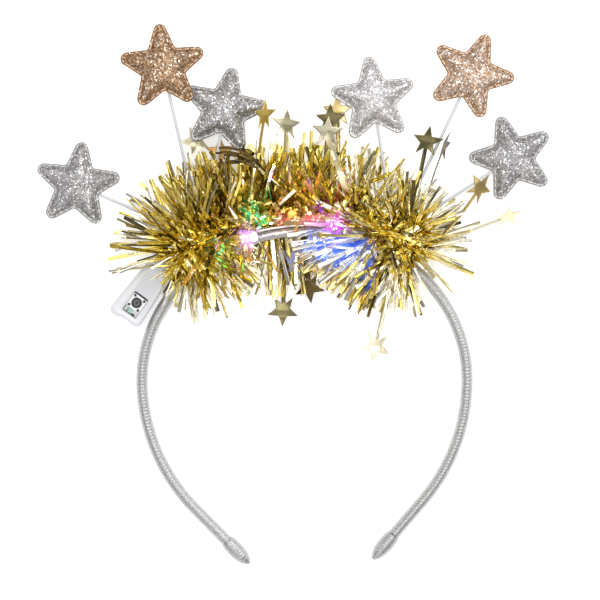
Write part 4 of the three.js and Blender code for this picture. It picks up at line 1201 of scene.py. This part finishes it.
# %% Where the foil stars hang
# The foil column picks a painted tone, from pale to brown, for how each star's face meets the light.
FOIL_STARS = [  # x, y, forward, root angle, lean in degrees, foil
    (-40.9, 99.1, -9, -21.5, 8, "pale"),
    (-30.8, 94.3, -4.6, -24.5, -6, "bronze"),
    (-22, 91.4, 0.5, -17, 55, "brown"),
    (-12.2, 108.8, 3, -13, 50, "gold"),
    (-3.4, 104.7, 0, -7, -18, "pale"),
    (17.4, 109.2, -6.5, 14, 5, "tan"),
    (14.4, 106, -3, 11, 8, "olive"),
    (13, 101, 1.5, 7.5, -5, "beige"),
    (53.3, 95.7, 5, 38, 14, "olive"),
    (60.4, 93.4, 4, 42, 72, "brown"),
    (74, 76.1, 7, 43.4, -45, "tan"),
    (85.4, 63.7, 2, 44, 50, "pale"),
    (-7.7, 28.6, -7, -4, 3, "olive"),
    (3.3, 37.5, -7.5, 1, -8, "brown"),
    (29.4, 13.3, 9, 34, 6, "pale"),
]
# Tones of the one foil: the pale ones painted reflections, the dark ones painted shade.
PUNCHED_PAINTED_LIGHT = {
    "pale": (0.78, 0.72, 0.50),
    "beige": (0.56, 0.52, 0.38),
    "gold": (0.66, 0.50, 0.14),
    "tan": (0.62, 0.47, 0.21),
    "bronze": (0.42, 0.25, 0.09),
    "olive": (0.18, 0.155, 0.075),
    "brown": (0.11, 0.075, 0.03),
}
punched_finishes = {
    name: finish_material(f"punched_{name}", colour, roughness=0.3, metallic=1.0)
    for name, colour in PUNCHED_PAINTED_LIGHT.items()
}
for foil in punched_finishes.values():
    add_grain(foil, size_mm=2.0, bump_mm=0.05, detail=1.0)
print("punched foil:", ", ".join(PUNCHED_PAINTED_LIGHT))

# %% One foil star with its strip
FOIL_RADIUS = 6.7
FOIL_NOTCH_RADIUS = 2.9
FOIL_STRIP_WIDTH = 1.7
FOIL_ROWS = 6
FOIL_EDGE_STEPS = 4
FOIL_STRIP_STEPS = 12
FOIL_CURL = 0.5
FOIL_BOW = 0.05


def foil_sheet(reach, roll, bends):
    """A star and its strip, flat in x and y with the strip down -y, then rolled and its arms bent."""
    half = FOIL_STRIP_WIDTH / 2
    corners = []
    for corner in range(1, 2 * STAR_ARMS):
        radius = FOIL_RADIUS if corner % 2 else FOIL_NOTCH_RADIUS
        corners.append(polar(radius, arm_half * corner - math.pi / 2))
    foot = -math.sqrt(FOIL_NOTCH_RADIUS**2 - half**2)
    loop = np.array([(half, foot), *corners, (-half, foot), (half, foot)])
    edge = []
    for a, b in zip(loop, loop[1:]):
        edge.extend(a + (b - a) * k / FOIL_EDGE_STEPS for k in range(FOIL_EDGE_STEPS))
    edge = np.array(edge)
    rows = np.vstack([edge * (row + 1) / FOIL_ROWS for row in range(FOIL_ROWS)] + [[(0, 0)]])
    faces = ring_faces(FOIL_ROWS, len(edge), closed=False)
    middle = len(rows) - 1
    faces += [[k, middle, (k + 1) % len(edge)] for k in range(len(edge))]
    faces = [face[::-1] for face in faces]
    steps = np.linspace(foot, -reach, FOIL_STRIP_STEPS)[1:]
    strip = np.array([(side, y) for y in steps for side in (half, -half)])
    strip_first = len(rows)
    rim = (FOIL_ROWS - 1) * len(edge)
    star_foot = [rim, *range(rim + len(edge) - 1, rim + len(edge) - FOIL_EDGE_STEPS - 1, -1)]
    faces.append([*star_foot, strip_first + 1, strip_first])
    faces += [[strip_first + 2 * k + i for i in (0, 1, 3, 2)] for k in range(len(steps) - 1)]
    flat = np.vstack([rows, strip])
    x, y = flat.T
    curl = FOIL_CURL * roll * np.clip(y, -FOIL_RADIUS, None) ** 2 * np.sign(y)
    arm = (np.arctan2(y, x) + math.pi / 2) % (2 * math.pi) // (2 * arm_half)
    bend = bends[arm.astype(int)] * np.maximum(np.hypot(x, y) - FOIL_NOTCH_RADIUS, 0)
    on_star = np.arange(len(flat)) < len(rows)
    bow = FOIL_BOW * reach * np.sin(math.pi * np.clip(-y / reach, 0, 1))
    return np.column_stack([flat, (roll * x**2 + curl + bend) * on_star - bow]), faces


print("foil star:", 2 * FOIL_RADIUS, "mm across, on a strip", FOIL_STRIP_WIDTH, "mm wide")

# %% Foil stars in their places
FOIL_SEED = 21
FOIL_ROLL, FOIL_ROLL_VARY = 0.012, (0.5, 1.4)
FOIL_BEND = 0.35
FOIL_THICK = 0.12
FOIL_ROOT_OUT = 3.2

rng = np.random.default_rng(FOIL_SEED)
for number, (x, y, forward, root, lean, foil) in enumerate(FOIL_STARS, 1):
    centre = np.array([x, y, forward], float)
    core = garland_at(root)
    foot = core + unit(centre - core) * FOIL_ROOT_OUT
    up = unit(centre - foot)
    roll = FOIL_ROLL * rng.choice([-1, 1]) * rng.uniform(*FOIL_ROLL_VARY)
    bends = np.abs(rng.normal(0, FOIL_BEND, STAR_ARMS))
    sheet, faces = foil_sheet(np.linalg.norm(centre - foot), roll, bends)
    tilt = math.radians(lean)
    tilted = np.column_stack(
        [
            sheet[:, 0] * math.cos(tilt) + sheet[:, 2] * math.sin(tilt),
            sheet[:, 1],
            sheet[:, 2] * math.cos(tilt) - sheet[:, 0] * math.sin(tilt),
        ]
    )
    side = unit(np.cross(up, UP))
    face = np.cross(side, up)
    placed = centre + tilted @ np.stack([side, up, face])
    star = make_piece(
        f"punched_star_{number:02d}", to_row(placed), faces, [punched_finishes[foil]],
        replaces=[f"foil_star_{number:02d}"],
    )
    thickness = star.modifiers.new("foil thickness", "SOLIDIFY")
    thickness.thickness = FOIL_THICK * MM
    thickness.offset = 0
print("punched stars:", len(FOIL_STARS))

# %% Broad strips over the garland
# Their foils are the punched stars' painted tones: the brown and olive strips are painted shade, the pale
# one a painted reflection.
BROAD_STRIPS = [  # foil, how many, width, spread, root angle, places of the pull and of the end
    ("pale", 1, 2.6, 0.0, 18.0, (16.7, 90.9, 24.0), (12.2, 100.0, 4.4)),
    ("brown", 6, 1.0, 1.9, -8.0, (-11.0, 96.0, 21.0), (-29.5, 93.0, 10.0)),
    ("olive", 6, 0.8, 1.9, -7.0, (-10.0, 94.0, 22.0), (-28.0, 92.0, 11.0)),
]
BROAD_ROLL = 0.7
BROAD_CREASE = 0.06
BROAD_STEPS = 16
BROAD_SEED = 31

rng = np.random.default_rng(BROAD_SEED)
broad_paths, broad_widths, broad_foils = [], [], []
t = np.linspace(0, 1, BROAD_STEPS)[:, None]
for foil, count, width, spread, root, pull, end in BROAD_STRIPS:
    for _ in range(count):
        far = np.array(pull) + spread * rng.normal(size=3)
        tip = np.array(end) + spread * rng.normal(size=3)
        broad_paths.append(drawn_over(on_core(root), far, tip, t))
        broad_widths.append(width)
        broad_foils.append(list(PUNCHED_PAINTED_LIGHT).index(foil))
broad_count = len(broad_paths)
broad_shape = (
    np.array(broad_widths), rng.normal(0, BROAD_ROLL, broad_count),
    rng.normal(0, BROAD_ROLL, broad_count), np.full(broad_count, BROAD_CREASE),
)
points, faces = ribbons(to_row(np.array(broad_paths)), *broad_shape)
face_foil = np.repeat(broad_foils, len(faces) // broad_count)
make_piece(
    "broad_strips", points, faces.tolist(), list(punched_finishes.values()),
    replaces=["tinsel_garland"], face_materials=face_foil, smooth=False,
)
print("broad strips:", broad_count)

# %% [markdown]
# ## The little lights
# Six coloured lights sit on short leads off one thin wire along the band's front corner. Each is a
# clear domed bulb that glows in its own colour; a small lamp of the same colour beside it throws that
# light on to the foil, the way the real ones do. The strips near each light carry a painted glow as well,
# in emission and base colour. One faint warm lamp more lights the bare crown.

# %% Thin wire
WIRE_RADIUS = 0.5
WIRE_SIDES = 8
WIRE_STEPS = 90
WIRE_OUTWARD, WIRE_FORWARD = 2.4, 3.0
WIRE_FIRST, WIRE_LAST = -38.0, 15.0
WIRE_KNOTS = 9
WIRE_BOX_ACROSS = 3.4
WIRE_GAP = 0.3
WIRE_LEAD_IN = [(-42, 4, -1), (-40, 3.6, 1.6)]

wire_clear = finish_material("wire_clear", (0.78, 0.76, 0.72), roughness=0.3, Coat_Weight=0.5)
add_grain(wire_clear, size_mm=0.8, bump_mm=0.02)
box_exit = (WIRE_BOX_ACROSS, BOX_LENGTH + WIRE_RADIUS + WIRE_GAP, BOX_DEPTH / 2)
wire_knots = [from_row(box_to_row(box_exit)), *[beside(*row) for row in WIRE_LEAD_IN]]
wire_knots += list(beside(np.linspace(WIRE_FIRST, WIRE_LAST, WIRE_KNOTS), WIRE_OUTWARD, WIRE_FORWARD))
wire_path = smooth_path(wire_knots, WIRE_STEPS)
make_piece(
    "thin_wire", to_row(tube(wire_path, WIRE_RADIUS, WIRE_SIDES)), ring_faces(len(wire_path), WIRE_SIDES),
    [wire_clear], replaces=["light_wire"],
)
print("wire:", round(run_along(wire_path)[-1]), "mm long")

# %% Bulbs and their lamps
BULB_RADIUS, BULB_LENGTH, LEAD_RADIUS = 1.6, 4.0, 0.4
BULB_SIDES = 20
BULB_DOME = 6
BULB_TIP = 0.06
BULB_GLOW = 1.6
LEAD_RINGS = 2
COLLAR_FLARE, COLLAR_STEP = 0.25, 0.05
COLLAR_GLOW = 0.45
LAMP_SIZE = 0.0016
LAMP_AHEAD = 2.6
CROWN_GLOW = (-5.5, 0.0, 24.0)
CROWN_TINT, CROWN_WATTS = (1.0, 0.83, 0.68), 0.011


def small_lamp(name, place, tint, watts):
    holder = add_lamp(name, "POINT", to_row(place), watts)
    holder.data.color = tint
    holder.data.shadow_soft_size = LAMP_SIZE


dome = np.linspace(0, math.pi / 2, BULB_DOME + 1)[:-1]
for number, (name, angle, outward, forward, tint, white_tip, watts) in enumerate(LIGHTS, 1):
    start, end = beside(angle, WIRE_OUTWARD, WIRE_FORWARD), beside(angle, outward, forward)
    way = unit(end - start)
    first = WIRE_RADIUS + WIRE_GAP
    reach = np.linalg.norm(end - start) + BULB_LENGTH / 2
    collar = max(reach - BULB_LENGTH, first + WIRE_GAP)
    profile = [  # how far along, and the radius there
        (first, LEAD_RADIUS), (collar - COLLAR_STEP, LEAD_RADIUS),
        (collar, BULB_RADIUS + COLLAR_FLARE), (collar + COLLAR_FLARE, BULB_RADIUS),
        *[(reach - BULB_RADIUS + BULB_RADIUS * math.sin(a), BULB_RADIUS * math.cos(a)) for a in dome],
        (reach, BULB_TIP),
    ]
    places, radii = np.array(profile).T
    path = start + places[:, None] * way
    bulb_clear = finish_material(
        f"bulb_{number}_{name}", tint, roughness=0.12, Emission_Strength=BULB_GLOW
    )
    show_layer(bulb_clear, "glow", "Emission Color")
    bulb_faces = ring_faces(len(path), BULB_SIDES)
    on_lead = [min(face) < LEAD_RINGS * BULB_SIDES for face in bulb_faces]
    bulb = make_piece(
        f"bulb_{number}", to_row(tube(path, radii, BULB_SIDES)), bulb_faces,
        [bulb_clear, wire_clear], replaces=[f"light_{number}"], face_materials=on_lead,
    )
    hot = np.clip((places - collar) / (reach - collar), 0, 1)[:, None]
    ring_glow = np.array(tint) * (1 - hot * white_tip) + hot * white_tip
    ring_glow *= COLLAR_GLOW + (1 - COLLAR_GLOW) * hot
    paint(bulb, "glow", np.repeat(ring_glow, BULB_SIDES, axis=0))
    small_lamp(f"lamp_{number}", end + LAMP_AHEAD * (UP + way), tint, watts)
small_lamp("crown_glow", beside(*CROWN_GLOW), CROWN_TINT, CROWN_WATTS)
print("lights:", len(LIGHTS), "bulbs", BULB_LENGTH, "mm long")

# %% [markdown]
# ## The battery box and its switch
# The box is a small moulding of milky plastic with rounded corners, softened edges and a stepped lower
# end. A window in its front shows a strip of circuit board and a square push switch: a pressed metal
# plate with four rivets round a black plunger. Each of these is a stack of flat loops, one above the
# other, joined by quads. Only the plunger moves, so it rides on a body of its own.

# %% Outline of the box
BOX_CORNER = 2.0
BOX_LIP, BOX_LIP_SIDE = 0.9, -2.6
CORNER_STEPS = 6


def corner_arc(x, y, radius, first, last, steps=CORNER_STEPS):
    """Points of a rounded corner between two directions, in quarter turns."""
    turn = np.linspace(first, last, steps + 1) * math.pi / 2
    return np.column_stack([x + radius * np.cos(turn), y + radius * np.sin(turn)])


def rounded_loop(left, bottom, right, top, corner, steps=CORNER_STEPS):
    """A rounded rectangle, anticlockwise from its right side."""
    return np.vstack(
        [
            corner_arc(right - corner, top - corner, corner, 0, 1, steps),
            corner_arc(left + corner, top - corner, corner, 1, 2, steps),
            corner_arc(left + corner, bottom + corner, corner, 2, 3, steps),
            corner_arc(right - corner, bottom + corner, corner, 3, 4, steps),
        ]
    )


def box_outline():
    """The box from the front: sides that lean in to the top, and a lip on the left of the lower end."""
    lean = box_lean / (math.pi / 2)
    top, recessed = BOX_LENGTH - BOX_CORNER, BOX_LIP + BOX_CORNER

    def across(along):
        return BOX_WIDTH / 2 - BOX_CORNER / math.cos(box_lean) - along * math.tan(box_lean)

    return np.vstack(
        [
            corner_arc(across(top), top, BOX_CORNER, lean, 1),
            corner_arc(-across(top), top, BOX_CORNER, 1, 2 - lean),
            corner_arc(-across(BOX_CORNER), BOX_CORNER, BOX_CORNER, 2 - lean, 3),
            [(BOX_LIP_SIDE, 0), (BOX_LIP_SIDE + BOX_LIP, BOX_LIP)],
            corner_arc(across(recessed), recessed, BOX_CORNER, 3, 4 + lean),
        ]
    )


box_loop = box_outline()
print("box outline:", len(box_loop), "points, leaning in by", round(math.degrees(box_lean), 1), "degrees")

# %% Shell of the box
BOX_EDGE_ROUND = 0.7
BOX_EDGE_STEPS = 5
WINDOW_WIDTH, WINDOW_LENGTH = 6.6, 9.2
WINDOW_ACROSS, WINDOW_START, WINDOW_DEPTH = 0.6, 3.6, 5.2
WINDOW_ROUND, WINDOW_SHOULDER = 0.25, 0.07
WINDOW_CORNER = 0.5
LIP_CORNER = 3


def stack_of(loops):
    """Points of flat loops, each at its height, with the number of loops and of points to a loop."""
    points = [np.column_stack([loop, np.full(len(loop), up)]) for loop, up in loops]
    return np.vstack(points), len(loops), len(points[0])


box_plastic = finish_material(
    "milky_plastic", (0.69, 0.70, 0.73), roughness=0.28, Subsurface_Weight=0.25,
    Subsurface_Radius=(0.004, 0.004, 0.004), Coat_Weight=0.3, Coat_Roughness=0.15,
)
add_grain(box_plastic, size_mm=2.5, bump_mm=0.03)
edge = np.linspace(0, math.pi / 2, BOX_EDGE_STEPS)
levels = [(BOX_EDGE_ROUND * (1 - math.sin(t)), BOX_EDGE_ROUND * (1 - math.cos(t))) for t in edge]
levels += [(inset, BOX_DEPTH - up) for inset, up in levels[::-1]]
window = rounded_loop(
    WINDOW_ACROSS - WINDOW_WIDTH / 2, WINDOW_START, WINDOW_ACROSS + WINDOW_WIDTH / 2,
    WINDOW_START + WINDOW_LENGTH, WINDOW_CORNER,
)
below_lip = [(WINDOW_ACROSS + side, WINDOW_START) for side in (-BOX_LIP, 0)]
window = np.insert(window, LIP_CORNER * (CORNER_STEPS + 1), below_lip, axis=0)
window_levels = [  # outward, below the front
    (WINDOW_ROUND, 0), (WINDOW_SHOULDER, WINDOW_SHOULDER), (0, WINDOW_ROUND), (0, WINDOW_DEPTH),
]
shell, rings, sides = stack_of(
    [(inset_loop(box_loop, inset), up) for inset, up in levels]
    + [(inset_loop(window, -out), BOX_DEPTH - below) for out, below in window_levels]
)
make_piece(
    "battery_shell", box_to_row(shell), ring_faces(rings, sides),
    [box_plastic], replaces=["battery_box"],
)
print("battery box:", BOX_TOP_WIDTH, "to", BOX_WIDTH, "mm wide,", BOX_LENGTH, "long,", BOX_DEPTH, "deep")

# %% Strip of circuit board
PART_GAP = 0.3
BOARD_THICK = 0.8
BOARD_SHADES = {  # colour, roughness, clear coat
    "board_white": ((0.95, 0.955, 0.94), 0.4, 0.4),
    "mask_green": ((0.015, 0.15, 0.08), 0.35, 0.6),
    "pad_mint": ((0.18, 0.56, 0.38), 0.35, 0.6),
    "chip_black": ((0.03, 0.03, 0.03), 0.4, 0.0),
}
BOARD_BITS = [  # finish, across and along from the window's lower edge, width, length, rise
    ("mask_green", -1.5, 1.25, 0.6, 1.9, 0.16),
    ("pad_mint", -0.4, 1.2, 1.6, 1.8, 0.12),
    ("chip_black", 1.4, 0.6, 1.7, 0.6, 0.5),
]
BIT_CORNER, BIT_CORNER_STEPS = 0.15, 3

board_finishes = [
    finish_material(name, colour, roughness, Coat_Weight=coat)
    for name, (colour, roughness, coat) in BOARD_SHADES.items()
]
for finish in board_finishes:
    add_grain(finish, size_mm=0.5, bump_mm=0.02)
board_bottom = BOX_DEPTH - WINDOW_DEPTH + PART_GAP
board_top = board_bottom + BOARD_THICK
board_half = WINDOW_WIDTH / 2 - PART_GAP
board_loop = rounded_loop(
    WINDOW_ACROSS - board_half, WINDOW_START + PART_GAP, WINDOW_ACROSS + board_half,
    WINDOW_START + WINDOW_LENGTH - PART_GAP, BIT_CORNER,
)
parts = [stack_of([(board_loop, board_bottom), (board_loop, board_top)])]
part_finish = [0]
for finish, across, along, width, length, rise in BOARD_BITS:
    x, y = WINDOW_ACROSS + across, WINDOW_START + along
    left, bottom = x - width / 2, y - length / 2
    bit = rounded_loop(left, bottom, left + width, bottom + length, BIT_CORNER, BIT_CORNER_STEPS)
    parts.append(stack_of([(bit, board_top), (bit, board_top + rise)]))
    part_finish.append(list(BOARD_SHADES).index(finish))
points, faces, numbers = joined(parts)
make_piece(
    "board_strip", box_to_row(points), faces, board_finishes,
    replaces=["circuit_board"], face_materials=np.array(part_finish)[numbers], smooth=False,
)
print("board:", round(2 * board_half, 1), "mm wide with", len(BOARD_BITS), "parts on it")

# %% Switch plate and its rivets
SWITCH_SIDE, SWITCH_HEIGHT, SWITCH_CORNER, SWITCH_MARGIN = 6.0, 3.4, 0.5, 0.7
SWITCH_CORNER_STEPS = 7
PLATE_THICK = 0.35
PLATE_OVERHANG = 0.2
PLATE_BEVEL = 0.1
PLATE_RINGS = (2, 3, 4)
BODY_SHIFT = 0.35
RIVET_SPACING, RIVET_RADIUS, RIVET_SIDES = 4.5, 0.58, 16
RIVET_PROFILE = [(1, -0.05), (1, 0.09), (0.7, 0.15), (0.1, 0.15)]  # share of the radius, rise
PLUNGER_RADIUS, PLUNGER_WELL = 1.75, 2.0


def round_loop(radius, middle, sides):
    turn = np.arange(sides) * 2 * math.pi / sides
    return middle + radius * np.column_stack([np.cos(turn), np.sin(turn)])


plate_metal = finish_material("plate_metal", (0.95, 0.95, 0.94), roughness=0.35, metallic=0.1)
add_grain(plate_metal, size_mm=0.6, bump_mm=0.015)
rivet_dark = finish_material("rivet_dark", (0.03, 0.03, 0.03), roughness=0.4, metallic=0.3)
switch_bottom = board_top + PART_GAP
switch_top = switch_bottom + SWITCH_HEIGHT
half_switch = SWITCH_SIDE / 2
plate_half = half_switch + PLATE_OVERHANG
plate_middle = np.array([WINDOW_ACROSS, WINDOW_START + WINDOW_LENGTH - SWITCH_MARGIN - half_switch])
plate_loop = plate_middle + rounded_loop(
    -plate_half, -half_switch, plate_half, half_switch, SWITCH_CORNER, SWITCH_CORNER_STEPS
)
# The switch body under the plate is black, in the rivets' finish, and sits a little up the window so a
# dark line of it shows in the gap at the top: partly the black body such switches have, partly painted
# shade in that deep gap.
body_loop = plate_loop + (0, BODY_SHIFT)
well_loop = round_loop(PLUNGER_RADIUS + PART_GAP, plate_middle, len(plate_loop))
parts = [
    stack_of(
        [
            (body_loop, switch_bottom), (body_loop, switch_top - PLATE_THICK),
            (plate_loop, switch_top - PLATE_THICK), (plate_loop, switch_top - PLATE_BEVEL),
            (inset_loop(plate_loop, PLATE_BEVEL), switch_top), (well_loop, switch_top),
            (well_loop, switch_top - PLUNGER_WELL),
        ]
    )
]
for corner in SQUARE:
    at = plate_middle + np.array(corner) * RIVET_SPACING / 2
    parts.append(
        stack_of(
            [
                (round_loop(RIVET_RADIUS * share, at, RIVET_SIDES), switch_top + rise)
                for share, rise in RIVET_PROFILE
            ]
        )
    )
points, faces, _ = joined(parts)
on_plate = np.isin([min(face) // len(plate_loop) for face in faces], PLATE_RINGS)
make_piece(
    "switch_plate_body", box_to_row(points), faces, [plate_metal, rivet_dark],
    replaces=["switch_body"], face_materials=~on_plate,
)
print("switch: plate", SWITCH_SIDE, "mm square with", len(SQUARE), "rivets")

# %% Push button
BUTTON_SIDES = 32
PLUNGER_RISE, PLUNGER_SUNK = 0.9, 1.3
PLUNGER_PROFILE = [  # share of the radius, below the top
    (1, PLUNGER_RISE + PLUNGER_SUNK), (1, 0.2), (0.94, 0.04), (0.86, 0), (0.76, 0), (0.72, 0.1),
    (0.36, 0.1), (0.32, 0), (0.05, 0),
]
# The sunken ring on the plunger's top is a lighter grey: a painted highlight.
PAINTED_HIGHLIGHT_RING = 5

plunger_black = finish_material("plunger_black", (0.035, 0.034, 0.034), roughness=0.38)
plunger_painted_highlight = finish_material("plunger_painted_highlight", (0.14, 0.14, 0.14), roughness=0.5)
for finish in (plunger_black, plunger_painted_highlight):
    add_grain(finish, size_mm=0.4, bump_mm=0.02)
plunger_top = switch_top + PLUNGER_RISE
plunger, rings, sides = stack_of(
    [
        (round_loop(PLUNGER_RADIUS * share, plate_middle, BUTTON_SIDES), plunger_top - below)
        for share, below in PLUNGER_PROFILE
    ]
)
plunger_faces = ring_faces(rings, sides)
make_piece(
    "push_button", box_to_row(plunger), plunger_faces, [plunger_black, plunger_painted_highlight],
    body=BUTTON_BODY, replaces=["switch_plunger"],
    face_materials=[min(face) // sides == PAINTED_HIGHLIGHT_RING for face in plunger_faces],
)
print("button:", 2 * PLUNGER_RADIUS, "mm across,", PLUNGER_RISE, "mm above the plate")
